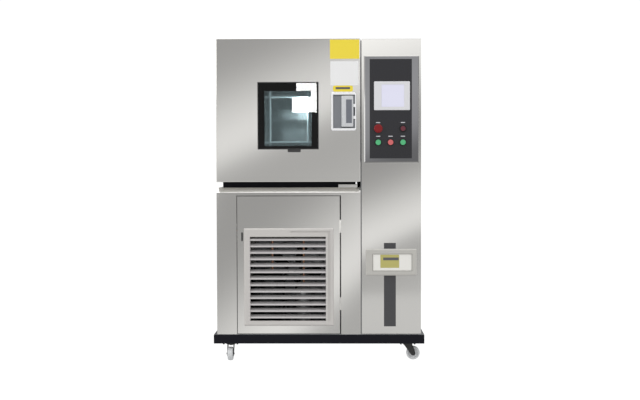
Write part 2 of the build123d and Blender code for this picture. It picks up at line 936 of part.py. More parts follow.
def finned_block(width, depth, height):
    """Coil block whose front and back are grooved into fins, centred on X and Y, standing on Z 0."""
    half = width / 2
    front = -depth / 2
    back = depth / 2
    count = int(width / fin_pitch) - 1
    step = width / (count + 1)
    line = [(-half, front)]
    for i in range(count):
        x = -half + (i + 1) * step
        line += [
            (x - fin_groove / 2, front),
            (x - fin_groove / 2, front + fin_groove_depth),
            (x + fin_groove / 2, front + fin_groove_depth),
            (x + fin_groove / 2, front),
        ]
    line += [(half, front), (half, back), (-half, back)]
    return prism_z(line, 0, height)


def return_bends(half_width, height, rows, y):
    """U bends of a coil on its left and right ends."""
    bends = []
    pitch = height / (rows + 1)
    for side in (-1, 1):
        for row in range(rows - 1):
            if (row + (side > 0)) % 2:
                continue
            z = (row + 1) * pitch
            start = (side * (half_width - 2), y, z)
            far = side * (half_width + pitch * 0.45)
            path = FilletPolyline(
                start, (far, y, z), (far, y, z + pitch), (side * (half_width - 2), y, z + pitch),
                radius=pitch * 0.4,
            )
            section = Plane(origin=start, z_dir=(side, 0, 0)) * Circle(coil_tube_r)
            bends.append(sweep(section, path=path))
    return bends


def evaporator_coil():
    """Finned coil on two feet on the floor of the tank, behind the baffle."""
    y = baffle_y + plenum_depth / 2
    coil = finned_block(evaporator_width, evaporator_depth, evaporator_height)
    for bend in return_bends(evaporator_width / 2, evaporator_height, 4, 0):
        coil = coil + bend
    coil = place_at(coil, fan_x, y, cavity_bottom + evaporator_rise)
    for side in (-1, 1):
        x = fan_x + side * (evaporator_width / 2 - 20)
        coil = coil + block(
            x - 10, x + 10, y - 20, y + 20, cavity_bottom, cavity_bottom + evaporator_rise
        )
    return coil


def circulation_fan():
    """Radial fan wheel on a long shaft that runs back through the wall to its motor."""
    y0 = fan_front_y
    y1 = y0 + fan_width
    wheel = rod_y(y1 - 3, y1, 0, 0, fan_r)
    ring = rod_y(y0, y0 + 2, 0, 0, fan_r) - rod_y(y0 - 1, y0 + 3, 0, 0, fan_eye_r)
    wheel = wheel + ring + rod_y(y0 + 8, y1, 0, 0, 3 * shaft_r)
    for i in range(fan_blade_count):
        blade = block(fan_eye_r, fan_r - 1, y0, y1, -fan_blade_sheet / 2, fan_blade_sheet / 2)
        blade = Pos((fan_eye_r + fan_r) / 2, 0, 0) * (Rot(0, 25, 0) * (Pos(-(fan_eye_r + fan_r) / 2, 0, 0) * blade))
        wheel = wheel + Rot(0, 360 * i / fan_blade_count, 0) * blade
    wheel = wheel + rod_y(y1 - 1, motor_front_y() + motor_socket - 1, 0, 0, shaft_r)
    return place_at(wheel, fan_x, 0, fan_z)


def motor_front_y():
    """Front face of the circulation fan's motor."""
    return foam_back_y + motor_standoff


def fan_motor():
    """Motor body with cooling ribs, four posts and a bracket plate on the foam's back."""
    y0 = motor_front_y()
    half = motor_bracket / 2
    plate = block(-half, half, foam_back_y, foam_back_y + motor_bracket_thick, -half, half)
    plate = plate - rod_y(foam_back_y - 1, foam_back_y + motor_bracket_thick + 1, 0, 0, shaft_hole_r)
    body = rod_y(y0, y0 + motor_length, 0, 0, motor_r)
    body = fillet(body.faces().sort_by(Axis.Y)[-1].edges(), 8)
    for i in range(12):
        rib = block(motor_r - 2, motor_r + 5, y0 + 12, y0 + motor_length - 14, -1.5, 1.5)
        body = body + Rot(0, 30 * i, 0) * rib
    body = body - rod_y(y0 - 1, y0 + motor_socket, 0, 0, shaft_r + bearing_gap)
    motor = plate + body
    for sx in (-1, 1):
        for sz in (-1, 1):
            reach = motor_r * 0.6
            motor = motor + rod_y(foam_back_y, y0 + 2, sx * reach, sz * reach, 5)
    return place_at(motor, fan_x, 0, fan_z)


def louvred_sheet(x0, x1, z0, z1, fields):
    """Rear sheet with fields of pressed louvres; a field is its centre X, its lowest Z and its count."""
    y0 = back_y - sheet
    panel = block(x0, x1, y0, back_y, z0, z1)
    half = louvre_length / 2
    for centre, low, count in fields:
        for i in range(count):
            z = low + i * louvre_pitch
            top = z + louvre_height
            reach = back_y + louvre_reach
            hood = prism_x([(y0, top), (back_y, top), (reach, z), (y0, z)], centre - half, centre + half)
            inner = [(y0 - 1, top - 2), (back_y, top - 2), (reach - sheet, z - 1), (y0 - 1, z - 1)]
            hollow = prism_x(inner, centre - half + sheet, centre + half - sheet)
            panel = panel + hood - hollow
    return panel


def rear_panels():
    """Rear sheets of the lower cabinet, the chamber and the column, with louvres."""
    low = floor_top + lower_louvre_rise
    fields = [(middle_x + side * lower_louvre_offset, low, lower_louvre_count) for side in (-1, 1)]
    lower = louvred_sheet(left_x, block_x, floor_top, deck_top, fields)
    fields = [(fan_x, chamber_bottom + upper_louvre_rise, upper_louvre_count)]
    upper = louvred_sheet(left_x, block_x, chamber_bottom, chamber_top, fields)
    fields = [((column_x + right_x) / 2, column_top - column_louvre_drop, column_louvre_count)]
    column = louvred_sheet(column_x, right_x, floor_top, column_top, fields)
    return side_by_side([lower, upper, column])


def compressor():
    """Hermetic compressor shell on a foot plate with four rubber feet, and its terminal box."""
    x = compressor_x
    y = compressor_y
    plate_low = floor_top + grommet_height
    plate_top = plate_low + compressor_foot_thick
    top = plate_top + compressor_height
    shell = rod_z(plate_top, top, x, y, compressor_r)
    shell = fillet(shell.edges().filter_by(GeomType.CIRCLE), compressor_round)
    half = compressor_foot_span / 2
    plate = Pos(x, y, (plate_low + plate_top) / 2) * Box(
        compressor_foot_span, compressor_foot_span * 0.8, compressor_foot_thick
    )
    plate = fillet(plate.edges().filter_by(Axis.Z), 30)
    stand = rod_z(plate_top - 1, plate_top + compressor_round, x, y, compressor_r - compressor_round * 0.6)
    body = whole(shell, plate, stand)
    box_y = y - compressor_r
    body = body + block(
        x - terminal_box / 2,
        x + terminal_box / 2,
        box_y - 22,
        box_y + 12,
        top - terminal_drop,
        top - terminal_drop + terminal_box,
    )
    body = body + rod_z(top - 8, top + 12, x + 25, y, pipe_r + 3)
    solids = [body]
    for sx in (-1, 1):
        for sy in (-1, 1):
            foot_x = x + sx * (half - 18)
            foot_y = y + sy * (half * 0.8 - 18)
            solids.append(rod_z(floor_top, plate_low, foot_x, foot_y, grommet_r))
    return side_by_side(solids)


def condenser_y():
    """Middle of the condenser block, front to back."""
    return back_y - condenser_from_back - condenser_depth / 2


def condenser_coil():
    """Finned condenser on two side plates, with a liquid receiver in front of it."""
    coil = finned_block(condenser_width, condenser_depth, condenser_height)
    for bend in return_bends(condenser_width / 2, condenser_height, 9, 0):
        coil = coil + bend
    y = condenser_y()
    coil = place_at(coil, condenser_x, y, floor_top + condenser_rise)
    half = condenser_depth / 2
    for side in (-1, 1):
        x = condenser_x + side * (condenser_width / 2 - 12)
        coil = coil + block(x - 8, x + 8, y - half, y + half, floor_top, floor_top + condenser_rise)
    tank = rod_z(floor_top, floor_top + receiver_height, receiver_x, compressor_y, receiver_r)
    tank = fillet(tank.edges().group_by(Axis.Z)[-1], receiver_r * 0.6)
    return side_by_side([coil, tank])


def fan_place():
    """Centre of the condenser fan: x and z."""
    return condenser_x, floor_top + condenser_rise + condenser_height / 2


def fan_shroud():
    """Shroud plate with a round collar, three struts and the motor that they hold."""
    x, z = fan_place()
    back = condenser_y() - condenser_depth / 2
    front = back - shroud_collar_depth
    half_w = condenser_width / 2
    half_h = condenser_height / 2
    plate = block(x - half_w, x + half_w, back - sheet, back, z - half_h, z + half_h)
    plate = plate - rod_y(back - 5, back + 5, x, z, shroud_collar_r)
    outer_r = shroud_collar_r + sheet
    collar = rod_y(front, back, x, z, outer_r) - rod_y(front - 1, back + 1, x, z, shroud_collar_r)
    shroud = plate + collar
    motor_y = front - cooling_motor_length
    motor = rod_y(motor_y, front - 6, x, z, cooling_motor_r)
    motor = fillet(motor.faces().sort_by(Axis.Y)[0].edges(), 8)
    for turn in (30, 150, 270):
        inner = cooling_motor_r - 3
        strut = block(inner, outer_r, front - 10, front - 6, -strut_width / 2, strut_width / 2)
        foot = block(outer_r - 2.5, outer_r, front - 10, front + 12, -strut_width / 2, strut_width / 2)
        arm = Rot(0, turn, 0) * (strut + foot)
        shroud = shroud + place_at(arm, x, 0, z)
    shroud = shroud + motor
    bore = rod_y(front - 6 - 20, front, x, z, cooling_shaft_r + bearing_gap)
    return shroud - bore


def condenser_fan():
    """Axial fan with pitched blades on a hub, and the shaft that fits the motor."""
    x, z = fan_place()
    front = condenser_y() - condenser_depth / 2 - shroud_collar_depth
    y0 = front + 4
    y1 = y0 + cooling_fan_width
    middle = (y0 + y1) / 2
    fan = rod_y(y0, y1, 0, 0, cooling_hub_r)
    fan = fillet(fan.faces().sort_by(Axis.Y)[-1].edges(), 6)
    root = cooling_hub_r - 4
    tip = shroud_collar_r - cooling_tip_gap
    outline = [
        (root, -0.11 * tip),
        (0.61 * tip, -0.2 * tip),
        (0.94 * tip, -0.23 * tip),
        (tip, -0.12 * tip),
        (tip, 0.08 * tip),
        (0.93 * tip, 0.17 * tip),
        (0.61 * tip, 0.13 * tip),
        (root, 0.08 * tip),
    ]
    half = cooling_blade_sheet / 2
    for i in range(cooling_blade_count):
        blade = prism_y(outline, -half, half)
        blade = Pos(0, middle, 0) * (Rot(cooling_blade_pitch, 0, 0) * blade)
        fan = fan + Rot(0, 360 * i / cooling_blade_count, 0) * blade
    fan = fan + rod_y(front - 6 - 18, y0 + 1, 0, 0, cooling_shaft_r)
    return place_at(fan, x, 0, z)


def pipe(points, radius):
    """Round copper pipe along straight runs and bends."""
    path = FilletPolyline(*points, radius=radius)
    start = Vector(*points[0])
    heading = Vector(*points[1]) - start
    section = Plane(origin=start, z_dir=heading) * Circle(pipe_r)
    return sweep(section, path=path)


def refrigerant_pipes():
    """Hot gas pipe to the condenser and liquid pipe from it to the receiver."""
    out_x = compressor_x + 25
    plate_top = floor_top + grommet_height + compressor_foot_thick
    out_z = plate_top + compressor_height + 12
    y_coil = condenser_y() - condenser_depth / 2
    in_z = floor_top + condenser_rise + condenser_height
    coil_x = condenser_x - condenser_width / 2 + 40
    hot = pipe(
        [
            (out_x, compressor_y, out_z),
            (out_x, compressor_y, in_z + 60),
            (out_x, condenser_y(), in_z + 60),
            (coil_x, condenser_y(), in_z + 60),
            (coil_x, condenser_y(), in_z),
        ],
        28,
    )
    receiver_top = floor_top + receiver_height
    liquid_x = condenser_x + condenser_width / 2 - 30
    liquid = pipe(
        [
            (receiver_x, compressor_y, receiver_top),
            (receiver_x, compressor_y, in_z + 30),
            (liquid_x, compressor_y, in_z + 30),
            (liquid_x, condenser_y(), in_z + 30),
            (liquid_x, condenser_y(), in_z),
        ],
        14,
    )
    return side_by_side([hot, liquid])


def door_skin():
    """Folded outer sheet of the door, with openings for the window and the handle."""
    skin = block(left_x, block_x, door_front_y, door_back_y, chamber_bottom, chamber_top)
    skin = fillet(skin.faces().sort_by(Axis.Y)[0].edges(), door_edge_r)
    skin = skin - block(
        left_x + sheet,
        block_x - sheet,
        door_front_y + sheet,
        door_back_y + 1,
        chamber_bottom + sheet,
        chamber_top - sheet,
    )
    x0, x1, z0, z1 = window_opening()
    skin = skin - block(x0, x1, door_front_y - 1, door_front_y + 5, z0, z1)
    x0, x1, z0, z1 = tub_limits()
    return skin - block(x0, x1, door_front_y - 1, door_front_y + 5, z0, z1)


def window_outer():
    """Outer limits of the window surround: X then Z."""
    low = chamber_bottom + window_bottom_rise
    return left_x + window_side_margin, block_x - window_side_margin, low, chamber_top - window_top_margin


def window_opening():
    """Clear opening inside the window's dark border: X then Z."""
    x0, x1, z0, z1 = window_outer()
    return x0 + window_border, x1 - window_border, z0 + window_border_bottom, z1 - window_border_top


def window_frame():
    """Dark surround with a rebate for the outer pane and a small tab under it."""
    x0, x1, z0, z1 = window_outer()
    out_y = door_front_y - window_edge_proud
    frame = block(x0, x1, out_y, door_front_y, z0, z1)
    frame = chamfer(frame.faces().sort_by(Axis.Y)[0].edges(), 1.5)
    e = window_edge
    frame = frame - block(
        x0 + e, x1 - e, out_y - 1, door_front_y - window_bezel_back, z0 + e, z1 - e
    )
    in_x0, in_x1, in_z0, in_z1 = window_opening()
    frame = frame - block(in_x0, in_x1, out_y - 1, door_front_y + 1, in_z0, in_z1)
    middle = (x0 + x1) / 2 + window_tab_shift
    tab = block(
        middle - window_tab_width / 2,
        middle + window_tab_width / 2,
        out_y,
        door_front_y,
        z0 - window_tab_height,
        z0,
    )
    tab = fillet(tab.edges().group_by(Axis.Z)[0].filter_by(Axis.Y), 4)
    return frame + tab


def window_glass_outer():
    """Outer pane in the surround's rebate."""
    x0, x1, z0, z1 = window_outer()
    e = window_edge + running_gap
    back = door_front_y - window_bezel_back
    return block(x0 + e, x1 - e, back - pane_thick, back, z0 + e, z1 - e)


def inner_window():
    """Opening at the back of the window reveal: X then Z."""
    x0, x1, z0, z1 = window_opening()
    i = reveal_inset
    return x0 + i, x1 - i, z0 + i, z1 - i


def plug_back_y():
    """Back face of the door's inner pan, inside the chamber's mouth."""
    return rim_y + plug_reach


def funnel(grow, front, back):
    """Tapered block through the door between the two window openings, grown by a wall."""
    x0, x1, z0, z1 = window_opening()
    a0, a1, c0, c1 = inner_window()
    wide = Plane(origin=((x0 + x1) / 2, front, (z0 + z1) / 2), x_dir=(1, 0, 0), z_dir=(0, 1, 0))
    narrow = Plane(origin=((a0 + a1) / 2, back, (c0 + c1) / 2), x_dir=(1, 0, 0), z_dir=(0, 1, 0))
    mouth = wide * Rectangle(x1 - x0 + 2 * grow, z1 - z0 + 2 * grow)
    throat = narrow * Rectangle(a1 - a0 + 2 * grow, c1 - c0 + 2 * grow)
    return loft([mouth, throat])


def door_inner_pan():
    """Rear sheet of the door: flat flange, raised plug and the tapered window reveal."""
    t = liner_sheet
    flange = block(
        left_x + sheet, block_x - sheet, door_back_y - t, door_back_y, chamber_bottom + sheet, chamber_top - sheet
    )
    x0 = cavity_left + plug_margin
    x1 = cavity_right - plug_margin
    z0 = cavity_bottom + plug_margin
    z1 = cavity_top - plug_margin
    back = plug_back_y()
    plug = block(x0, x1, door_back_y - t, back, z0, z1)
    plug = fillet(plug.faces().sort_by(Axis.Y)[-1].edges(), plug_round)
    pan = flange + plug - block(x0 + t, x1 - t, door_back_y - t - 1, back - t, z0 + t, z1 - t)
    front = door_front_y + sheet
    pan = pan + funnel(t, front, back) - funnel(0, front - 1, back + 0.01)
    a0, a1, c0, c1 = inner_window()
    seat = pane_thick + 1
    pan = pan - block(a0 - 0.5, a1 + 0.5, back - seat, back + 1, c0 - 0.5, c1 + 0.5)
    stop = block(a0 - 3, a1 + 3, back - seat - t, back - seat, c0 - 3, c1 + 3)
    stop = stop - block(a0 + 4, a1 - 4, back - seat - t - 1, back - seat + 1, c0 + 4, c1 - 4)
    pan = pan + stop
    return pan - keeper_pocket()


def window_glass_inner():
    """Inner pane on the stop at the back of the reveal."""
    x0, x1, z0, z1 = inner_window()
    back = plug_back_y() - 1
    return block(x0 - 0.2, x1 + 0.2, back - pane_thick, back, z0 - 0.2, z1 + 0.2)


def keeper_place():
    """Left edge, bottom and front reach of the latch keeper on the rim."""
    x = cavity_right + keeper_from_cavity
    z = handle_bottom + handle_height / 2 - keeper_height / 2
    return x, z, rim_y - keeper_reach


def keeper_pocket():
    """Room in the door's back for the keeper."""
    x, z, y = keeper_place()
    g = keeper_pocket_gap
    return block(x - g, x + keeper_width + g, y - g, door_back_y + 1, z - g, z + keeper_height + g)


def door_insulation():
    """Foam boards in the door: beside, above and below the window reveal."""
    x0 = left_x + sheet
    x1 = block_x - sheet
    z0 = chamber_bottom + sheet
    z1 = chamber_top - sheet
    y0 = door_front_y + sheet
    y1 = door_back_y - liner_sheet
    w0, w1, v0, v1 = window_opening()
    t = liner_sheet
    left = block(x0, w0 - t, y0, y1, z0, z1)
    right = block(w1 + t, x1, y0, y1, z0, z1)
    top = block(w0 - t, w1 + t, y0, y1, v1 + t, z1)
    bottom = block(w0 - t, w1 + t, y0, y1, z0, v0 - t)
    a0, a1, c0, c1 = tub_limits()
    tub = block(a0, a1, y0 - 1, handle_tub_back(), c0, c1)
    keep = block(x0, x1, y0, y1, z0, z1)
    keep = fillet(keep.faces().sort_by(Axis.Y)[0].edges(), door_edge_r - sheet)
    boards = []
    for board in (left, right - tub - keeper_pocket(), top, bottom):
        boards.append(board & keep)
    return side_by_side(boards)


def door_gasket():
    """Rounded seal on the back of the door, round the mouth of the chamber."""
    y0 = door_back_y
    y1 = rim_y - running_gap
    inner = gasket_offset
    outer = gasket_offset + gasket_width
    ring = block(
        cavity_left - outer, cavity_right + outer, y0, y1, cavity_bottom - outer, cavity_top + outer
    )
    ring = fillet(ring.edges().filter_by(Axis.Y), 20)
    ring = ring - block(
        cavity_left - inner, cavity_right + inner, y0 - 1, y1 + 1, cavity_bottom - inner, cavity_top + inner
    )
    return fillet(ring.faces().sort_by(Axis.Y)[-1].edges(), gasket_round)


def hinge_axis():
    """Line of the chamber door's pins: x and y."""
    return left_x - hinge_side_gap - hinge_barrel_r, (rim_y + door_back_y) / 2


def hinge_bottoms():
    """Lowest Z of the lower and the upper hinge."""
    return chamber_bottom + lower_hinge_above_bottom, chamber_top - upper_hinge_below_top


def hinge_knuckle(low, high, side):
    """Barrel between two heights with a strap from it towards the body (side 1) or the door (side -1)."""
    x, y = hinge_axis()
    barrel = rod_z(low, high, x, y, hinge_barrel_r)
    clear = hinge_barrel_r + 1
    near = min(y, y + side * clear)
    far = max(y, y + side * clear)
    strap = block(left_x - hinge_leaf_thick, left_x, near, far, low, high)
    return barrel + strap


def hinge_leaf_plate(low, high, side):
    """Flat leaf on the side of the body or the door, past the barrel."""
    x, y = hinge_axis()
    start = y + side * (hinge_barrel_r + 1)
    end = y + side * hinge_leaf
    leaf = block(left_x - hinge_leaf_thick, left_x, min(start, end), max(start, end), low, high)
    leaf = fillet(leaf.edges().filter_by(Axis.X).group_by(Axis.Y)[-1 if side > 0 else 0], 8)
    for share in (0.25, 0.75):
        z = low + share * (high - low)
        middle = y + side * (hinge_leaf + hinge_barrel_r) / 2
        leaf = leaf + rod_x(left_x - hinge_leaf_thick - 1.5, left_x - hinge_leaf_thick, middle, z, 5)
    return leaf


def door_fittings():
    """Fixed leaves and pins of the two hinges, and the keeper for the latch."""
    x, y = hinge_axis()
    third = hinge_length / 3
    solids = []
    for low in hinge_bottoms():
        high = low + hinge_length
        fixed = whole(
            hinge_leaf_plate(low, high, 1),
            hinge_knuckle(low, low + third - running_gap, 1),
            hinge_knuckle(high - third + running_gap, high, 1),
            rod_z(low, high, x, y, hinge_pin_r),
        )
        solids.append(fixed)
    kx, kz, ky = keeper_place()
    line = [(kx + keeper_width, rim_y), (kx, rim_y), (kx, ky), (kx + keeper_width, ky)]
    keeper = prism_z(bent_outline(line, keeper_sheet), kz, kz + keeper_height)
    solids.append(keeper)
    return side_by_side(solids)


def hinge_leaves_door():
    """Moving leaves of the two hinges, each with a middle barrel bored for its pin."""
    x, y = hinge_axis()
    third = hinge_length / 3
    solids = []
    for low in hinge_bottoms():
        high = low + hinge_length
        moving = hinge_leaf_plate(low, high, -1) + hinge_knuckle(low + third, high - third, -1)
        bore = rod_z(low, high, x, y, hinge_pin_r + bearing_gap)
        solids.append(moving - bore)
    return side_by_side(solids)


def tub_limits():
    """Outer limits of the handle's tub behind the plate: X then Z."""
    return (
        handle_left + tub_margin_left,
        handle_right - tub_margin_right,
        handle_bottom + tub_margin_z,
        handle_bottom + handle_height - tub_margin_z,
    )


def handle_tub_back():
    """Back of the handle's tub."""
    return door_front_y + tub_depth


def lever_axis():
    """Line of the paddle lever's pin: x and y."""
    return handle_right - lever_from_right, door_front_y - handle_plate + lever_knuckle_depth


def lever_middle_z():
    """Middle height of the paddle lever."""
    return handle_bottom + handle_height / 2


def handle_base():
    """Handle plate with a tub behind it for the fingers, and the lever's pin between two cheeks."""
    top = handle_bottom + handle_height
    front = door_front_y - handle_plate
    plate = block(handle_left, handle_right, front, door_front_y, handle_bottom, top)
    plate = fillet(plate.edges().filter_by(Axis.Y), handle_round)
    plate = chamfer(plate.faces().sort_by(Axis.Y)[0].edges(), 1.2)
    x0, x1, z0, z1 = tub_limits()
    back = handle_tub_back()
    tub = block(x0, x1, door_front_y, back, z0, z1)
    t = tub_sheet
    base = plate + tub - block(x0 + t, x1 - t, front - 1, back - t, z0 + t, z1 - t)
    pin_x, pin_y = lever_axis()
    middle = lever_middle_z()
    reach = lever_lug_height / 2 + running_gap
    for side in (-1, 1):
        near = middle + side * reach
        far = middle + side * (reach + lever_cheek)
        cheek = block(
            pin_x - lever_knuckle_r, x1 - t / 2, pin_y - 1.5 * lever_pin_r, pin_y + 8, min(near, far), max(near, far)
        )
        base = base + cheek
    return base + rod_z(middle - reach - 1, middle + reach + 1, pin_x, pin_y, lever_pin_r)


def handle_lever():
    """Paddle with a raised grip edge and a pocket, on a lug that turns about the pin."""
    pin_x, pin_y = lever_axis()
    middle = lever_middle_z()
    rear = door_front_y - handle_plate - running_gap
    front = rear - lever_thick
    x0 = pin_x - lever_width
    low = middle - lever_height / 2
    high = middle + lever_height / 2
    paddle = block(x0, pin_x, front, rear, low, high)
    paddle = fillet(paddle.edges().filter_by(Axis.Y), lever_round)
    paddle = chamfer(paddle.faces().sort_by(Axis.Y)[0].edges(), 1.5)
    grip = block(x0 + 3, x0 + lever_pocket_margin_left - 3, front - lever_grip_proud, front + 1, low + 8, high - 8)
    grip = fillet(grip.edges().filter_by(Axis.Z).group_by(Axis.Y)[0], 1.5)
    paddle = paddle + grip
    paddle = paddle - block(
        x0 + lever_pocket_margin_left,
        pin_x - lever_pocket_margin_right,
        front - 1,
        front + lever_pocket_depth,
        low + lever_pocket_margin_z,
        high - lever_pocket_margin_z,
    )
    hollow = 2.5
    paddle = paddle - block(
        x0 + hollow,
        x0 + lever_pocket_margin_left,
        front + hollow,
        rear + 1,
        low + hollow,
        high - hollow,
    )
    half = lever_lug_height / 2
    knuckle = rod_z(middle - half, middle + half, pin_x, pin_y, lever_knuckle_r)
    web = block(pin_x - lever_knuckle_r, pin_x, rear - 1, pin_y, middle - half, middle + half)
    finger = block(
        pin_x - lever_knuckle_r, pin_x - 1, pin_y, pin_y + lever_finger, middle - 5, middle + 5
    )
    bore = rod_z(middle - half - 1, middle + half + 1, pin_x, pin_y, lever_pin_r + bearing_gap)
    return whole(paddle, knuckle, web, finger) - bore


def fascia_limits():
    """Window of the control surround that shows the fascia: X then Z."""
    x0 = column_x + bezel_left + fascia_left_margin
    x1 = column_x + bezel_left + bezel_width - fascia_right_margin
    z0 = bezel_bottom + fascia_bottom_margin
    z1 = bezel_bottom + bezel_height - fascia_top_margin
    return x0, x1, z0, z1


def slab_with_slope(x0, x1, z0, z1, y_back, y_front, slope):
    """Raised block whose four sides slope in towards its front."""
    back = Plane(origin=((x0 + x1) / 2, y_back, (z0 + z1) / 2), x_dir=(1, 0, 0), z_dir=(0, -1, 0))
    front = Plane(origin=((x0 + x1) / 2, y_front, (z0 + z1) / 2), x_dir=(1, 0, 0), z_dir=(0, -1, 0))
    base = back * Rectangle(x1 - x0, z1 - z0)
    face = front * Rectangle(x1 - x0 - 2 * slope, z1 - z0 - 2 * slope)
    return loft([base, face])


def control_bezel():
    """Raised, mirror-finished surround of the controls: a sheet tray with a window."""
    x0 = column_x + bezel_left
    x1 = x0 + bezel_width
    z0 = bezel_bottom
    z1 = z0 + bezel_height
    front = front_y - bezel_proud
    t = sheet
    outer = slab_with_slope(x0, x1, z0, z1, front_y, front, bezel_slope)
    inner = slab_with_slope(x0 + t, x1 - t, z0 + t, z1 - t, front_y, front + t, bezel_slope)
    a0, a1, c0, c1 = fascia_limits()
    return outer - inner - block(a0, a1, front - 1, front + 5, c0, c1)


def screen_limits():
    """Outer limits of the touch screen: X then Z."""
    a0, a1, c0, c1 = fascia_limits()
    z0 = upper_button_z() + screen_above_buttons
    return a0 + screen_left_margin, a1 - screen_right_margin, z0, z0 + screen_height


def fascia_front_y():
    """Front face of the black fascia."""
    return front_y - bezel_proud + 1.0


def button_middle_x():
    """Middle of the button rows."""
    a0, a1, c0, c1 = fascia_limits()
    return (a0 + a1) / 2 + button_centre_shift


def lower_button_z():
    """Height of the lower button row."""
    a0, a1, c0, c1 = fascia_limits()
    return c0 + lower_button_rise


def upper_button_z():
    """Height of the upper button row."""
    return lower_button_z() + button_row_pitch


def button_places():
    """Name, centre x and centre z of the three lit push buttons."""
    x = button_middle_x()
    z = lower_button_z()
    return [("button_power", x - button_spacing, z), ("button_reset", x, z), ("button_light", x + button_spacing, z)]


def stop_place():
    """Centre of the larger red button."""
    return button_middle_x() - button_spacing, upper_button_z()


def lamp_place():
    """Centre of the alarm lamp."""
    return button_middle_x() + button_spacing, upper_button_z()


def control_fascia():
    """Black plate behind the surround's window, with holes for the screen and the buttons."""
    a0, a1, c0, c1 = fascia_limits()
    front = fascia_front_y()
    g = running_gap
    f = fascia_flange
    seat = front_y - bezel_proud + sheet
    plate = block(a0 - f, a1 + f, seat, seat + fascia_thick, c0 - f, c1 + f)
    plate = plate + block(a0 + g, a1 - g, front, seat + 1, c0 + g, c1 - g)
    x0, x1, z0, z1 = screen_limits()
    m = screen_case_margin - running_gap
    plate = plate - block(x0 + m, x1 - m, front - 1, seat + 10, z0 + m, z1 - m)
    holes = [(x, z) for name, x, z in button_places()] + [stop_place(), lamp_place()]
    for x, z in holes:
        plate = plate - rod_y(front - 1, seat + 10, x, z, button_barrel_r + bearing_gap)
    return plate


def touchscreen():
    """Touch screen: rounded front frame with a sunk screen, and its case behind the fascia."""
    x0, x1, z0, z1 = screen_limits()
    back = fascia_front_y()
    front = back - screen_proud
    frame = block(x0, x1, front, back, z0, z1)
    frame = fillet(frame.edges().filter_by(Axis.Y), 4)
    frame = fillet(frame.faces().sort_by(Axis.Y)[0].edges(), screen_edge_r * 0.5)
    frame = frame - block(
        x0 + screen_view_left,
        x1 - screen_view_right,
        front - 1,
        front + screen_view_depth,
        z0 + screen_view_bottom,
        z1 - screen_view_top,
    )
    m = screen_case_margin
    case = block(x0 + m, x1 - m, back - 1, back + screen_case_depth, z0 + m, z1 - m)
    return frame + case


def button_collars():
    """Five collars with threaded barrels behind the fascia, and the alarm lamp's lens."""
    front = fascia_front_y()
    back = front + button_barrel_depth
    solids = []
    for name, x, z in button_places():
        collar = rod_y(front - collar_proud, front, x, z, collar_r)
        collar = fillet(collar.faces().sort_by(Axis.Y)[0].edges(), 1.5)
        barrel = rod_y(front - 0.5, back, x, z, button_barrel_r)
        well = rod_y(front - collar_proud - 1, front - button_floor, x, z, button_cap_r + collar_bore_gap)
        bore = rod_y(front - button_floor - 1, back + 1, x, z, button_stem_r + collar_bore_gap)
        solids.append(collar + barrel - well - bore)
    x, z = stop_place()
    collar = rod_y(front - stop_collar_proud, front, x, z, collar_r)
    collar = collar + rod_y(front - 0.5, back, x, z, button_barrel_r)
    bore = rod_y(front - stop_collar_proud - 1, back + 1, x, z, button_stem_r + collar_bore_gap)
    solids.append(collar - bore)
    x, z = lamp_place()
    lamp = rod_y(front - collar_proud, front, x, z, collar_r) + rod_y(front - 0.5, back, x, z, button_barrel_r)
    lens = rod_y(front - collar_proud - lamp_proud, front - 1, x, z, button_cap_r)
    lens = fillet(lens.faces().sort_by(Axis.Y)[0].edges(), 3)
    solids.append(lamp + lens)
    return side_by_side(solids)


def push_button(x, z):
    """Lit push button: round cap in its collar on a stem in the barrel."""
    front = fascia_front_y()
    face = front - collar_proud - button_cap_proud
    cap_back = front - button_floor - button_travel - running_gap
    cap = rod_y(face, cap_back, x, z, button_cap_r)
    cap = fillet(cap.faces().sort_by(Axis.Y)[0].edges(), 1)
    stem_end = front + button_barrel_depth - button_travel - 2
    return cap + rod_y(cap_back - 1, stem_end, x, z, button_stem_r)


def stop_button():
    """Larger red mushroom button on its stem."""
    x, z = stop_place()
    front = fascia_front_y()
    back = front - stop_collar_proud - stop_travel - running_gap
    cap = rod_y(back - stop_cap_thick, back, x, z, stop_cap_r)
    cap = fillet(cap.faces().sort_by(Axis.Y)[0].edges(), 5)
    stem_end = front + button_barrel_depth - stop_travel - 2
    return cap + rod_y(back - 1, stem_end, x, z, button_stem_r)


def drawer_frame_limits():
    """Outer limits of the water drawer's frame: X then Z."""
    x0 = column_x + drawer_frame_left
    return x0, x0 + drawer_frame_width, drawer_frame_bottom, drawer_frame_bottom + drawer_frame_height


def drawer_window():
    """Opening of the water drawer's frame: X then Z."""
    x0, x1, z0, z1 = drawer_frame_limits()
    return x0 + drawer_window_left, x1 - drawer_window_right, z0 + drawer_window_bottom, z1 - drawer_window_top


def level_limits(upper):
    """Limits of one stretch of the level window: X then Z."""
    x0 = column_x + level_left
    f0, f1, z0, z1 = drawer_frame_limits()
    if upper:
        return x0, x0 + level_width, z1 + 1, z1 + level_stub
    return x0, x0 + level_width, level_bottom, z0 - 1


def column_front_panel():
    """Front sheet of the column with turned edges and its cut-outs."""
    back = front_y + sheet
    panel = block(column_x, right_x, front_y, back, floor_top, column_top - sheet)
    turn = block(column_x, column_x + sheet, front_y, front_y + 18, floor_top, column_top - sheet)
    panel = panel + turn
    a0, a1, c0, c1 = fascia_limits()
    f = fascia_flange + 2
    panel = panel - block(a0 - f, a1 + f, front_y - 1, back + 1, c0 - f, c1 + f)
    x0, x1, z0, z1 = drawer_window()
    w = runner_wall
    panel = panel - block(x0 - w, x1 + w, front_y - 1, back + 1, z0 - w, z1 + w)
    for upper in (False, True):
        x0, x1, z0, z1 = level_limits(upper)
        panel = panel - block(x0, x1, front_y - 1, back + 1, z0, z1)
    return panel


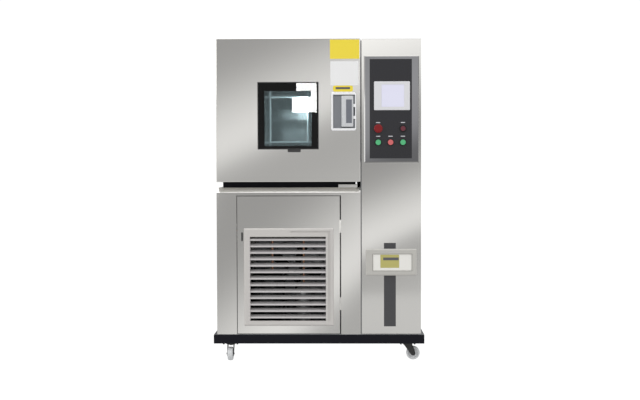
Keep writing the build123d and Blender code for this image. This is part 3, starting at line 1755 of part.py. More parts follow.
def column_cover():
    """Right side sheet and top sheet of the column, with louvres in the side."""
    side = block(
        right_x - sheet, right_x, front_y + sheet, back_y - sheet, floor_top, column_top - sheet
    )
    y = back_y - side_louvre_from_back
    for i in range(side_louvre_count):
        z = column_top - side_louvre_drop + i * louvre_pitch
        side = side - block(right_x - sheet - 1, right_x + 1, y, y + louvre_length, z, z + side_louvre_slot)
    top = block(column_x, right_x, front_y, back_y - sheet, column_top - sheet, column_top)
    return side_by_side([side, top])


def level_window():
    """Dark level window in two stretches, each with a flange behind the front sheet."""
    panes = []
    for upper in (False, True):
        x0, x1, z0, z1 = level_limits(upper)
        g = running_gap
        f = level_flange
        shown = block(x0 + g, x1 - g, front_y + 0.5, front_y + sheet + 0.5, z0 + g, z1 - g)
        top = z1 + f if upper else z1
        low = z0 if upper else z0 - f
        flange = block(x0 - f, x1 + f, front_y + sheet, front_y + sheet + level_thick, low, top)
        panes.append(shown + flange)
    return side_by_side(panes)


def drawer_frame():
    """Cream frame of the water drawer with two runners behind it."""
    x0, x1, z0, z1 = drawer_frame_limits()
    out_y = front_y - drawer_frame_proud
    frame = block(x0, x1, out_y, front_y, z0, z1)
    frame = fillet(frame.edges().filter_by(Axis.Y), 5)
    frame = chamfer(frame.faces().sort_by(Axis.Y)[0].edges(), drawer_frame_bevel)
    a0, a1, c0, c1 = drawer_window()
    frame = frame - block(a0, a1, out_y - 1, front_y + 1, c0, c1)
    w = runner_wall
    depth = drawer_depth + 8
    low = c0 - w
    left_line = [(a0, low + runner_height), (a0, c0), (a0 + runner_ledge, c0)]
    left = prism_y(bent_outline(left_line[::-1], w)[::-1], front_y, front_y + depth)
    right_line = [(a1, low + runner_height), (a1, c0), (a1 - runner_ledge, c0)]
    right = prism_y(bent_outline(right_line, w), front_y, front_y + depth)
    return side_by_side([frame, left, right])


def water_drawer():
    """Pull-out water tray: its face in the frame and an open tray behind it."""
    a0, a1, c0, c1 = drawer_window()
    g = drawer_face_gap
    out_y = front_y - drawer_frame_proud + drawer_face_inset
    back = out_y + drawer_face_thick
    face = block(a0 + g, a1 - g, out_y, back, c0 + g, c1 - g)
    face = chamfer(face.faces().sort_by(Axis.Y)[0].edges(), 1.5)
    x0 = a0 + drawer_side_gap
    x1 = a1 - drawer_side_gap
    z0 = c0 + running_gap
    z1 = c1 - drawer_top_drop
    end = front_y + drawer_depth
    t = drawer_wall
    tray = block(x0, x1, back - 1, end, z0, z1)
    tray = tray - block(x0 + t, x1 - t, back + 1, end - t, z0 + t, z1 + 1)
    return face + tray


def water_tank():
    """Supply tank on the cabinet floor behind the level window."""
    x0 = column_x + (column_width - tank_width) / 2
    y0 = front_y + sheet + level_thick + tank_wall_gap
    tank = block(x0, x0 + tank_width, y0, y0 + tank_depth, floor_top, floor_top + tank_height)
    tank = fillet(tank.edges().filter_by(Axis.Z), tank_round)
    neck_x = x0 + tank_width / 2
    neck_y = y0 + tank_depth - 50
    top = floor_top + tank_height
    return tank + rod_z(top - 1, top + 18, neck_x, neck_y, 22)


def rear_fittings():
    """Two drain spigots and the supply cable's gland on the rear sheets."""
    solids = []
    for i in range(2):
        x = spigot_first_x + i * spigot_spacing
        collar = rod_y(back_y, back_y + spigot_collar_thick, x, spigot_z, spigot_collar_r)
        end = back_y + spigot_collar_thick + spigot_length
        pin = rod_y(back_y, end, x, spigot_z, spigot_r)
        solids.append(collar + pin - rod_y(back_y + 1, end + 1, x, spigot_z, spigot_bore_r))
    nut = Pos(gland_x, back_y + 6, gland_z) * Rot(90, 0, 0) * extrude(RegularPolygon(gland_r, 6), amount=6, both=True)
    cap = rod_y(back_y + 11, back_y + 20, gland_x, gland_z, gland_r * 0.75)
    cap = fillet(cap.faces().sort_by(Axis.Y)[-1].edges(), 3)
    solids.append(nut + cap - rod_y(back_y + 2, back_y + 21, gland_x, gland_z, gland_bore_r))
    return side_by_side(solids)


def all_parts():
    """Every node's name with its shape."""
    parts = {
        "base_frame": base_frame(),
        "caster_plates": caster_plates(),
        "floor_and_partition": floor_and_partition(),
        "lower_front_frame": lower_front_frame(),
        "lower_side_panel": lower_side_panel(),
        "service_door_panel": service_door_panel(),
        "grille_frame": grille_frame(),
        "grille_slats": grille_slats(),
        "service_latch": service_latch(),
        "chamber_plinth": chamber_plinth(),
        "chamber_shell": chamber_shell(),
        "chamber_insulation": chamber_insulation(),
        "chamber_liner": chamber_liner(),
        "port_sleeve": port_sleeve(),
        "shelf_rails": shelf_rails(),
        "wire_shelf": wire_shelf(),
        "air_baffle": air_baffle(),
        "evaporator_coil": evaporator_coil(),
        "circulation_fan": circulation_fan(),
        "fan_motor": fan_motor(),
        "rear_panels": rear_panels(),
        "compressor": compressor(),
        "condenser_coil": condenser_coil(),
        "fan_shroud": fan_shroud(),
        "condenser_fan": condenser_fan(),
        "refrigerant_pipes": refrigerant_pipes(),
        "door_skin": door_skin(),
        "window_frame": window_frame(),
        "window_glass_outer": window_glass_outer(),
        "door_inner_pan": door_inner_pan(),
        "window_glass_inner": window_glass_inner(),
        "door_insulation": door_insulation(),
        "door_gasket": door_gasket(),
        "door_fittings": door_fittings(),
        "hinge_leaves_door": hinge_leaves_door(),
        "handle_base": handle_base(),
        "handle_lever": handle_lever(),
        "column_front_panel": column_front_panel(),
        "column_cover": column_cover(),
        "control_bezel": control_bezel(),
        "control_fascia": control_fascia(),
        "touchscreen": touchscreen(),
        "button_collars": button_collars(),
        "stop_button": stop_button(),
        "level_window": level_window(),
        "drawer_frame": drawer_frame(),
        "water_drawer": water_drawer(),
        "water_tank": water_tank(),
        "rear_fittings": rear_fittings(),
    }
    for name, x, z in button_places():
        parts[name] = push_button(x, z)
    for name, x, y, turn in caster_places():
        parts["caster_fork_" + name] = Pos(x, y, 0) * Rot(0, 0, turn) * fork_shape()
        parts["caster_wheel_" + name] = Pos(x, y, 0) * Rot(0, 0, turn) * wheel_shape()
    return parts


os.makedirs("parts", exist_ok=True)
for node, shape in all_parts().items():
    export_step(shape, "parts/" + node + ".step")
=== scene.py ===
"""Dresses the environmental test chamber and sets up the studio and the camera."""

from __future__ import annotations

import json
import logging
import math
from dataclasses import dataclass, field
from enum import Enum

import bpy
from mathutils import Matrix, Vector

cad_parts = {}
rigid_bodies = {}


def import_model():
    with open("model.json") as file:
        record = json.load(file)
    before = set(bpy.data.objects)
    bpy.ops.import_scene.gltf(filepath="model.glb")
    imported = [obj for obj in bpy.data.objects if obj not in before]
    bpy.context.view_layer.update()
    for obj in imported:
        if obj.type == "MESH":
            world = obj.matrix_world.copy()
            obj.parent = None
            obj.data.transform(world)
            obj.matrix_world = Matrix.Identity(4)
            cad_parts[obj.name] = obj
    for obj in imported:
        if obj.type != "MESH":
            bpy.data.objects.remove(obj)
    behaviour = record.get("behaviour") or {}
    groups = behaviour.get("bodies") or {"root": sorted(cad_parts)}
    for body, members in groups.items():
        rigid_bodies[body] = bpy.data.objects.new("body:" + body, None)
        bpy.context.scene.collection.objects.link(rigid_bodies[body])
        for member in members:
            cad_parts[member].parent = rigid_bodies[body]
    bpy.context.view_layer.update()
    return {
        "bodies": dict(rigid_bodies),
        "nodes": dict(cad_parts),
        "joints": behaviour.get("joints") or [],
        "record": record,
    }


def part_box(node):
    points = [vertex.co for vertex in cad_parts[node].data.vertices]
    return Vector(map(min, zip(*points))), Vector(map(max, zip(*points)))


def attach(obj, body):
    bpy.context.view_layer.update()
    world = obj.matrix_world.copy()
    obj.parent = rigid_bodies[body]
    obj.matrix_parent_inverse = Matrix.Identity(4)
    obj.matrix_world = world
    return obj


LOG = logging.getLogger("chamber")
Point = tuple[float, float, float]
Span = tuple[float, float]
Colour = tuple[float, float, float]

SHADER = "Principled BSDF"

# Streaks of a brushed sheet, per metre, and the unevenness of a painted or moulded surface
STREAKS_ALONG = 6.0
STREAKS_ACROSS = 700.0
STREAK_DETAIL = 3.0
STREAK_SPREAD = 0.15
MOTTLE_SCALE = 60.0

# The bright field that the front mirrors: its scale, the height of its upper edge, its slant
FIELD_RATE = 0.6155
FIELD_EDGE = 1.112
FIELD_SLANT = 0.453

# The camera as seen from the front sheets, in metres
VIEW_DISTANCE = 4.64
VIEW_HEIGHT = 0.8903
VIEW_SIDE = 0.085

CORNER_STEPS = 5


class Grain(Enum):
    """Direction in which a sheet was brushed."""

    NONE = "none"
    ALONG_Z = "z"


@dataclass(frozen=True)
class Finish:
    """A surface finish that becomes one material."""

    name: str
    colour: Colour
    metallic: float = 0.0
    roughness: float = 0.5
    specular: float = 0.5
    coat: float = 0.0
    glow: float = 0.0
    glow_colour: Colour = (1.0, 1.0, 1.0)
    clear: float = 0.0
    ior: float = 1.45
    grain: Grain = Grain.NONE
    mottle: float = 0.12

    def build(self) -> bpy.types.Material:
        """Makes the material, or finds it if it is there already.

        Returns:
            The material.
        """
        found = bpy.data.materials.get(self.name)
        if found is not None:
            return found
        material = bpy.data.materials.new(self.name)
        material.use_nodes = True
        shader = material.node_tree.nodes[SHADER]
        shader.inputs["Base Color"].default_value = (*self.colour, 1.0)
        shader.inputs["Metallic"].default_value = self.metallic
        shader.inputs["Roughness"].default_value = self.roughness
        shader.inputs["Specular IOR Level"].default_value = self.specular
        shader.inputs["Coat Weight"].default_value = self.coat
        shader.inputs["IOR"].default_value = self.ior
        shader.inputs["Transmission Weight"].default_value = self.clear
        if self.glow:
            shader.inputs["Emission Color"].default_value = (*self.glow_colour, 1.0)
            shader.inputs["Emission Strength"].default_value = self.glow
        self.add_detail(material.node_tree)
        return material

    def add_detail(self, tree: bpy.types.NodeTree) -> None:
        """Adds the streaks of a brushed sheet, or the unevenness of any other surface.

        Args:
            tree: node tree of the material.
        """
        place = tree.nodes.new("ShaderNodeTexCoord")
        if self.grain is Grain.ALONG_Z:
            stretch = tree.nodes.new("ShaderNodeMapping")
            stretch.inputs["Scale"].default_value = (STREAKS_ACROSS, STREAKS_ACROSS, STREAKS_ALONG)
            tree.links.new(place.outputs["Object"], stretch.inputs["Vector"])
            self._vary(tree, stretch.outputs["Vector"], 1.0, STREAK_DETAIL, STREAK_SPREAD)
        elif self.mottle and self.roughness:
            self._vary(tree, place.outputs["Object"], MOTTLE_SCALE, None, self.mottle)

    def _vary(
        self,
        tree: bpy.types.NodeTree,
        place: bpy.types.NodeSocket,
        scale: float,
        detail: float | None,
        share: float,
    ) -> None:
        """Varies the roughness by a noise.

        Args:
            tree: node tree of the material.
            place: socket that gives the place on the surface.
            scale: scale of the noise.
            detail: detail of the noise, or None for the usual one.
            share: how far the roughness goes below and above its own value, as a share of it.
        """
        noise = tree.nodes.new("ShaderNodeTexNoise")
        noise.inputs["Scale"].default_value = scale
        if detail is not None:
            noise.inputs["Detail"].default_value = detail
        spread = tree.nodes.new("ShaderNodeMapRange")
        spread.inputs["To Min"].default_value = self.roughness * (1 - share)
        spread.inputs["To Max"].default_value = self.roughness * (1 + share)
        tree.links.new(place, noise.inputs["Vector"])
        tree.links.new(noise.outputs["Fac"], spread.inputs["Value"])
        tree.links.new(spread.outputs["Result"], tree.nodes[SHADER].inputs["Roughness"])


@dataclass(frozen=True)
class SheetFinish(Finish):
    """A stainless sheet that is a little out of flat, as folded panels are."""

    lean: Span = (0.0, 0.0)
    bow: Span = (0.0, 0.0)

    def add_detail(self, tree: bpy.types.NodeTree) -> None:
        """Adds the streaks, and bends the normal by the lean and the bow.

        Args:
            tree: node tree of the material.
        """
        super().add_detail(tree)
        place = tree.nodes.new("ShaderNodeTexCoord")
        bend = tree.nodes.new("ShaderNodeVectorMath")
        bend.operation = "MULTIPLY_ADD"
        bend.inputs[1].default_value = (self.bow[0], 0.0, self.bow[1])
        bend.inputs[2].default_value = (self.lean[0], 0.0, self.lean[1])
        ground = tree.nodes.new("ShaderNodeNewGeometry")
        total = tree.nodes.new("ShaderNodeVectorMath")
        total.operation = "ADD"
        unit = tree.nodes.new("ShaderNodeVectorMath")
        unit.operation = "NORMALIZE"
        tree.links.new(place.outputs["Object"], bend.inputs[0])
        tree.links.new(bend.outputs[0], total.inputs[0])
        tree.links.new(ground.outputs["Normal"], total.inputs[1])
        tree.links.new(total.outputs[0], unit.inputs[0])
        tree.links.new(unit.outputs[0], tree.nodes[SHADER].inputs["Normal"])


@dataclass(frozen=True)
class RecessShadeFinish(Finish):
    """A bright metal with painted shade in its recesses: its colour darkens further back along Y.
    """

    # Painted shade: the colour at the back of the recess, and the depths where the front colour
    # and the shade are full
    recess_shade_colour: Colour = (0.2, 0.2, 0.2)
    bright_y: float = -0.505
    deep_y: float = -0.5

    def add_detail(self, tree: bpy.types.NodeTree) -> None:
        """Adds the unevenness, and fades the colour from the bright front to painted shade in the
        recess.

        Args:
            tree: node tree of the material.
        """
        super().add_detail(tree)
        place = tree.nodes.new("ShaderNodeTexCoord")
        split = tree.nodes.new("ShaderNodeSeparateXYZ")
        # Painted shade: the colour darkens with depth along Y
        depth = tree.nodes.new("ShaderNodeMapRange")
        depth.inputs["From Min"].default_value = self.bright_y
        depth.inputs["From Max"].default_value = self.deep_y
        blend = tree.nodes.new("ShaderNodeMix")
        blend.data_type = "RGBA"
        tree.links.new(place.outputs["Object"], split.inputs[0])
        tree.links.new(split.outputs["Y"], depth.inputs["Value"])
        tree.links.new(depth.outputs["Result"], blend.inputs["Factor"])
        bright, shaded = [socket for socket in blend.inputs if socket.type == "RGBA"]
        bright.default_value = (*self.colour, 1.0)
        shaded.default_value = (*self.recess_shade_colour, 1.0)
        mixed = [socket for socket in blend.outputs if socket.type == "RGBA"][0]
        tree.links.new(mixed, tree.nodes[SHADER].inputs["Base Color"])


STEEL: Colour = (0.70, 0.69, 0.665)

# Metals
PLAIN_STEEL = Finish(
    "brushed_steel", STEEL, metallic=1.0, roughness=0.24, grain=Grain.ALONG_Z
)
POLISHED = Finish("polished_steel", (0.80, 0.80, 0.80), metallic=1.0, roughness=0.10)
MIRROR_TRIM = Finish(
    "mirror_trim", (0.24, 0.24, 0.25), metallic=1.0, roughness=0.05, mottle=0.2
)
HANDLE_CHROME = Finish(
    "handle_chrome", (0.80, 0.80, 0.81), metallic=1.0, roughness=0.16, mottle=0.2
)
# Handle plate: bright chrome front that fades to painted shade in its recess, further back along Y
HANDLE_PLATE = RecessShadeFinish(
    "handle_plate",
    (0.95, 0.95, 0.96),
    metallic=1.0,
    roughness=0.2,
    mottle=0.2,
    recess_shade_colour=(0.24, 0.25, 0.27),
    bright_y=-0.506,
    deep_y=-0.498,
)
# Handle paddle: front colour that fades to painted shade further back along Y
HANDLE_PADDLE = RecessShadeFinish(
    "handle_paddle",
    (0.66, 0.67, 0.69),
    metallic=1.0,
    roughness=0.2,
    mottle=0.2,
    recess_shade_colour=(0.20, 0.21, 0.24),
    bright_y=-0.519,
    deep_y=-0.5168,
)
ZINC = Finish("zinc_sheet", (0.60, 0.61, 0.62), metallic=0.6, roughness=0.45, mottle=0.3)
SLAT_STEEL = Finish("slat_steel", (0.62, 0.60, 0.60), metallic=0.45, roughness=0.3, mottle=0.2)
COLLAR = Finish("collar_metal", (0.82, 0.82, 0.82), metallic=1.0, roughness=0.22, mottle=0.2)
COPPER = Finish("copper_pipe", (0.72, 0.36, 0.20), metallic=1.0, roughness=0.28)
FINS = Finish("fin_stack", (0.70, 0.71, 0.72), metallic=0.5, roughness=0.4, mottle=0.2)

# Paints
BLACK_PAINT = Finish(
    "black_powder_coat", (0.008, 0.008, 0.012), roughness=0.5, specular=0.12, mottle=0.2
)
CREAM = Finish("cream_paint", (0.47, 0.46, 0.43), roughness=0.4, coat=0.1, mottle=0.15)
GRILLE_PAINT = Finish("grille_paint", (0.54, 0.52, 0.50), roughness=0.42, mottle=0.15)
COMPRESSOR = Finish("compressor_enamel", (0.014, 0.014, 0.015), roughness=0.3, coat=0.3)
MOTOR = Finish("motor_paint", (0.14, 0.16, 0.17), roughness=0.4)

# Plastics, foam and rubber
CASTER_BLACK = Finish("caster_black", (0.012, 0.012, 0.014), roughness=0.38)
WHEEL_GREY = Finish("wheel_grey", (0.52, 0.53, 0.53), roughness=0.55)
BLACK_PLASTIC = Finish(
    "black_plastic", (0.006, 0.006, 0.007), roughness=0.4, specular=0.15, mottle=0.15
)
FASCIA = Finish("fascia_black", (0.005, 0.005, 0.007), roughness=0.35, specular=0.12, mottle=0.15)
SCREEN_CASE = Finish("screen_case", (0.68, 0.68, 0.70), roughness=0.35, coat=0.1, mottle=0.1)
COLLAR_BLACK = Finish(
    "collar_black", (0.012, 0.011, 0.012), roughness=0.35, specular=0.25, mottle=0.15
)
LEVEL_DARK = Finish(
    "level_dark", (0.012, 0.012, 0.014), roughness=0.2, specular=0.25, mottle=0.15
)
FOAM = Finish("foam_board", (0.78, 0.70, 0.45), roughness=0.9, mottle=0.1)
SEAL = Finish("silicone_seal", (0.03, 0.03, 0.03), roughness=0.6)
FAN_DARK = Finish("fan_plastic", (0.035, 0.035, 0.038), roughness=0.4)
TANK_WHITE = Finish("tank_plastic", (0.78, 0.80, 0.78), roughness=0.45)
DRAWER_FACE = Finish("drawer_face", (0.78, 0.77, 0.73), roughness=0.4, mottle=0.15)
PORT_WHITE = Finish("port_plastic", (0.80, 0.80, 0.78), roughness=0.4)

# Lit and see-through surfaces
SCREEN_GLOW = Finish(
    "screen_glow",
    (0.50, 0.50, 0.58),
    roughness=0.25,
    glow=0.32,
    glow_colour=(0.72, 0.72, 0.90),
)
LIT_GREEN = Finish(
    "lit_green", (0.06, 0.32, 0.14), roughness=0.3, glow=0.12, glow_colour=(0.18, 0.95, 0.40)
)
LIT_RED = Finish(
    "lit_red", (0.45, 0.09, 0.09), roughness=0.3, glow=0.15, glow_colour=(1.0, 0.25, 0.28)
)
STOP_RED = Finish("stop_red", (0.20, 0.010, 0.012), roughness=0.3, specular=0.3, mottle=0.1)
LAMP_DIM = Finish("lamp_dim", (0.12, 0.012, 0.025), roughness=0.25, coat=0.3)
OUTER_GLASS = Finish("outer_glass", (0.55, 0.64, 0.66), roughness=0.0, clear=1.0, ior=1.25)
# The real inner pane, tinted almost black as painted shade for the dark chamber interior behind it
SHADE_INNER_GLASS = Finish("inner_glass", (0.018, 0.028, 0.045), roughness=0.0, clear=1.0, ior=1.15)

# Label stock
LABEL_YELLOW = Finish("label_yellow", (0.82, 0.66, 0.05), roughness=0.5)
LABEL_WHITE = Finish("label_white", (0.80, 0.80, 0.80), roughness=0.5, mottle=0.1)
LABEL_OLD = Finish("label_old_yellow", (0.46, 0.42, 0.14), roughness=0.5, mottle=0.1)
LABEL_GREY = Finish("label_grey", (0.10, 0.10, 0.11), roughness=0.5)
LABEL_PALE = Finish("label_pale", (0.55, 0.55, 0.58), roughness=0.5)


def sheet(name: str, middle_x: float, base: float, rise: float, run: float) -> SheetFinish:
    """A stainless finish whose bow spreads the studio's bright field over one panel.

    Args:
        name: name of the material.
        middle_x: middle of the panel, where its normal doesn't lean sideways, in metres.
        base: height in the field that the origin mirrors.
        rise: how fast that height grows along Z.
        run: how fast it grows along X.

    Returns:
        The finish.
    """
    bow_x = (-FIELD_RATE * run / FIELD_SLANT - 1 / VIEW_DISTANCE) / 2
    bow_z = (FIELD_RATE * rise - 1 / VIEW_DISTANCE) / 2
    lean_x = -bow_x * middle_x
    view = (VIEW_HEIGHT - FIELD_SLANT * VIEW_SIDE) / VIEW_DISTANCE
    lean_z = (FIELD_RATE * (base - FIELD_EDGE) + view) / 2 + FIELD_SLANT * lean_x
    return SheetFinish(
        name,
        STEEL,
        metallic=1.0,
        roughness=0.15,
        grain=Grain.ALONG_Z,
        lean=(lean_x, lean_z),
        bow=(bow_x, bow_z),
    )


DOOR_SHEET = sheet("door_sheet", middle_x=-0.14, base=0.0, rise=1.0, run=-0.453)
COLUMN_SHEET = sheet("column_sheet", middle_x=0.34, base=0.547, rise=1.42, run=-0.643)
LOWER_SHEET = sheet("lower_sheet", middle_x=-0.14, base=0.9716, rise=0.75, run=-0.694)

FINISHES: dict[str, Finish] = {
    "base_frame": BLACK_PAINT,
    "caster_plates": CASTER_BLACK,
    "floor_and_partition": ZINC,
    "lower_front_frame": LOWER_SHEET,
    "lower_side_panel": PLAIN_STEEL,
    "service_door_panel": LOWER_SHEET,
    "grille_frame": GRILLE_PAINT,
    "grille_slats": SLAT_STEEL,
    "service_latch": BLACK_PLASTIC,
    # The set-back plinth's black paint is painted shade for the dark gap under the door
    "chamber_plinth": BLACK_PAINT,
    "chamber_shell": PLAIN_STEEL,
    "chamber_insulation": FOAM,
    "chamber_liner": POLISHED,
    "port_sleeve": PORT_WHITE,
    "shelf_rails": POLISHED,
    "wire_shelf": POLISHED,
    "air_baffle": POLISHED,
    "evaporator_coil": FINS,
    "circulation_fan": COLLAR,
    "fan_motor": MOTOR,
    "rear_panels": PLAIN_STEEL,
    "compressor": COMPRESSOR,
    "condenser_coil": FINS,
    "fan_shroud": ZINC,
    "condenser_fan": FAN_DARK,
    "refrigerant_pipes": COPPER,
    "door_skin": DOOR_SHEET,
    "window_frame": BLACK_PLASTIC,
    "window_glass_outer": OUTER_GLASS,
    "door_inner_pan": POLISHED,
    "window_glass_inner": SHADE_INNER_GLASS,
    "door_insulation": FOAM,
    "door_gasket": SEAL,
    "door_fittings": HANDLE_CHROME,
    "hinge_leaves_door": HANDLE_CHROME,
    "handle_base": HANDLE_PLATE,
    "handle_lever": HANDLE_PADDLE,
    "column_front_panel": COLUMN_SHEET,
    "column_cover": PLAIN_STEEL,
    "control_bezel": MIRROR_TRIM,
    "control_fascia": FASCIA,
    "touchscreen": SCREEN_CASE,
    "button_collars": COLLAR_BLACK,
    "stop_button": STOP_RED,
    "button_power": LIT_GREEN,
    "button_reset": LIT_RED,
    "button_light": LIT_GREEN,
    "level_window": LEVEL_DARK,
    "drawer_frame": CREAM,
    "water_drawer": DRAWER_FACE,
    "water_tank": TANK_WHITE,
    "rear_fittings": COLLAR,
}
CASTERS = ("front_left", "front_right", "back_left", "back_right")


def all_finishes() -> dict[str, Finish]:
    """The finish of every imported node, with the four casters.

    Returns:
        The finishes by the nodes' names.
    """
    finishes = dict(FINISHES)
    for name in CASTERS:
        finishes["caster_fork_" + name] = CASTER_BLACK
        finishes["caster_wheel_" + name] = WHEEL_GREY
    return finishes


@dataclass
class NodeDresser:
    """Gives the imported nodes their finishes."""

    frame: dict
    finishes: dict[str, Finish] = field(default_factory=all_finishes)

    def dress(self) -> None:
        """Assigns each finish to its node's material slots."""
        for node, finish in self.finishes.items():
            slots = self.frame["nodes"][node].data.materials
            material = finish.build()
            if not slots:
                slots.append(material)
            for index in range(len(slots)):
                slots[index] = material
            LOG.info("finish %s on %s", finish.name, node)


def mesh_object(
    name: str, points: list[Point], faces: list[tuple[int, ...]], finish: Finish
) -> bpy.types.Object:
    """A mesh object with one finish.

    Args:
        name: name of the object.
        points: its corners, in metres.
        faces: its faces, as corner numbers.
        finish: its finish.

    Returns:
        The object, linked to the scene.
    """
    mesh = bpy.data.meshes.new(name)
    mesh.from_pydata(points, [], faces)
    mesh.validate()
    mesh.update()
    mesh.materials.append(finish.build())
    obj = bpy.data.objects.new(name, mesh)
    bpy.context.scene.collection.objects.link(obj)
    return obj


@dataclass(frozen=True)
class Patch:
    """A thin plate with round corners that stands on a surface facing the front, in metres."""

    name: str
    body: str
    finish: Finish
    across: Span
    height: Span
    back: float
    thick: float
    radius: float

    def build(self) -> None:
        """Makes the plate and lets it ride on its body."""
        outline = self._outline()
        count = len(outline)
        points = [(x, self.back - self.thick, z) for x, z in outline]
        points += [(x, self.back, z) for x, z in outline]
        faces: list[tuple[int, ...]] = [
            tuple(range(count)),
            tuple(range(2 * count - 1, count - 1, -1)),
        ]
        for here in range(count):
            there = (here + 1) % count
            faces.append((there, here, here + count, there + count))
        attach(mesh_object(self.name, points, faces, self.finish), self.body)
        LOG.info("patch %s on %s", self.name, self.body)

    def _outline(self) -> list[Span]:
        """The plate's outline with its round corners.

        Returns:
            The points, each as X and Z.
        """
        (x0, x1), (z0, z1) = self.across, self.height
        inner = self.radius
        centres = (
            (x1 - inner, z1 - inner, 0),
            (x0 + inner, z1 - inner, 90),
            (x0 + inner, z0 + inner, 180),
            (x1 - inner, z0 + inner, 270),
        )
        outline: list[Span] = []
        for x, z, start in centres:
            for step in range(CORNER_STEPS + 1):
                angle = math.radians(start + 90 * step / CORNER_STEPS)
                outline.append((x + inner * math.cos(angle), z + inner * math.sin(angle)))
        return outline


@dataclass
class Labels:
    """Blank label patches on the door and the water drawer, and the grey bars on two of them."""

    door_front: float = -0.505
    drawer_front: float = -0.509
    thick: float = 0.0004
    bar_thick: float = 0.0002
    bar_radius: float = 0.001
    drawer_radius: float = 0.002
    drawer_across: Span = (0.286, 0.373)
    drawer_height: Span = (0.436, 0.497)
    drawer_bar_across: Span = (0.299, 0.371)
    drawer_bar_height: Span = (0.471, 0.484)
    door_bar_across: Span = (0.080, 0.147)
    door_bar_height: Span = (1.263, 1.273)
    # Name, finish, sides, lower and upper edges, corner radius
    door_patches: tuple[tuple[str, Finish, Span, Span, float], ...] = (
        ("label_upper", LABEL_YELLOW, (0.054, 0.190), (1.403, 1.492), 0.002),
        ("label_middle", LABEL_WHITE, (0.056, 0.186), (1.281, 1.392), 0.002),
        ("label_lower", LABEL_YELLOW, (0.068, 0.160), (1.252, 1.280), 0.008),
    )

    def build(self) -> None:
        """Puts the patches on their panels, and the bars on them."""
        for name, finish, across, height, radius in self.door_patches:
            Patch(
                name, "door", finish, across, height, self.door_front, self.thick, radius
            ).build()
        Patch(
            "drawer_label",
            "water_drawer",
            LABEL_OLD,
            self.drawer_across,
            self.drawer_height,
            self.drawer_front,
            self.thick,
            self.drawer_radius,
        ).build()
        self._bar(
            "label_lower_bar", "door", self.door_bar_across, self.door_bar_height, self.door_front
        )
        self._bar(
            "drawer_label_bar",
            "water_drawer",
            self.drawer_bar_across,
            self.drawer_bar_height,
            self.drawer_front,
        )

    def _bar(self, name: str, body: str, across: Span, height: Span, front: float) -> None:
        """Puts a grey bar on a patch.

        Args:
            name: name of the bar.
            body: body that it rides on.
            across: its left and right sides.
            height: its lower and upper edges.
            front: front of the panel under the patch.
        """
        back = front - self.thick
        Patch(
            name, body, LABEL_GREY, across, height, back, self.bar_thick, self.bar_radius
        ).build()


@dataclass
class ControlDetails:
    """Lit screen surface, small blank marks on the fascia and the lens of the dim lamp."""

    screen_sides: Span = (0.0345, 0.0265)
    screen_ends: Span = (0.0155, 0.0145)
    screen_sink: float = 0.0012
    screen_thick: float = 0.0003
    screen_radius: float = 0.001
    fascia_front: float = -0.517
    mark_half: Span = (0.010, 0.002)
    mark_thick: float = 0.0002
    mark_radius: float = 0.0008
    mark_places: tuple[Span, ...] = (
        (0.276, 1.045),
        (0.333, 1.045),
        (0.390, 1.045),
        (0.276, 1.108),
        (0.390, 1.108),
    )
    lamp_middle: Span = (0.390, 1.080)
    lamp_half: float = 0.0115
    lamp_front: float = -0.527
    lens_thick: float = 0.0004
    lens_radius: float = 0.0114

    def build(self) -> None:
        """Makes the screen surface, the marks and the lens."""
        self._screen()
        self._marks()
        self._lens()

    def _screen(self) -> None:
        """Lays the lit surface into the screen's housing."""
        low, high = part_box("touchscreen")
        Patch(
            "screen_surface",
            "cabinet",
            SCREEN_GLOW,
            (low[0] + self.screen_sides[0], high[0] - self.screen_sides[1]),
            (low[2] + self.screen_ends[0], high[2] - self.screen_ends[1]),
            low[1] + self.screen_sink,
            self.screen_thick,
            self.screen_radius,
        ).build()

    def _marks(self) -> None:
        """Puts a short pale bar above each button."""
        for index, (x, z) in enumerate(self.mark_places):
            Patch(
                f"fascia_mark_{index}",
                "cabinet",
                LABEL_PALE,
                (x - self.mark_half[0], x + self.mark_half[0]),
                (z - self.mark_half[1], z + self.mark_half[1]),
                self.fascia_front,
                self.mark_thick,
                self.mark_radius,
            ).build()

    def _lens(self) -> None:
        """Puts the dim red lens on its collar."""
        x, z = self.lamp_middle
        Patch(
            "alarm_lens",
            "cabinet",
            LAMP_DIM,
            (x - self.lamp_half, x + self.lamp_half),
            (z - self.lamp_half, z + self.lamp_half),
            self.lamp_front,
            self.lens_thick,
            self.lens_radius,
        ).build()


@dataclass
class WindowGlare:
    """Soft boxes that only the outer pane mirrors, towards the upper right of the window."""

    reach: float = 3.0
    radiance: float = 80.0
    # Left and right sides, lower and upper edges, in metres on the pane
    patches: tuple[tuple[float, float, float, float], ...] = (
        (-0.103, -0.007, 1.256, 1.297),
        (-0.035, -0.007, 1.228, 1.256),
        (-0.121, -0.007, 1.156, 1.228),
    )

    def build(self) -> None:
        """Places each soft box on the mirrored line from the camera through its patch."""
        camera = Vector(Studio.camera_place)
        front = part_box("window_glass_outer")[0][1]
        receivers = bpy.data.collections.new("glare_receivers")
        receivers.objects.link(bpy.data.objects["window_glass_outer"])
        share = self.reach / (front - camera.y)
        for index, (x0, x1, z0, z1) in enumerate(self.patches):
            (left, low), (right, high) = [
                (x + (x - camera.x) * share, z + (z - camera.z) * share)
                for x, z in ((x0, z0), (x1, z1))
            ]
            data = bpy.data.lights.new(f"glare_{index}", "AREA")
            data.shape = "RECTANGLE"
            data.size = right - left
            data.size_y = high - low
            data.energy = self.radiance * math.pi * data.size * data.size_y
            lamp = bpy.data.objects.new(f"glare_{index}", data)
            lamp.location = ((left + right) / 2, front - self.reach, (low + high) / 2)
            lamp.rotation_euler = Vector((0.0, 1.0, 0.0)).to_track_quat("-Z", "Z").to_euler()
            lamp.light_linking.receiver_collection = receivers
            bpy.context.scene.collection.objects.link(lamp)
            LOG.info("glare %d", index)


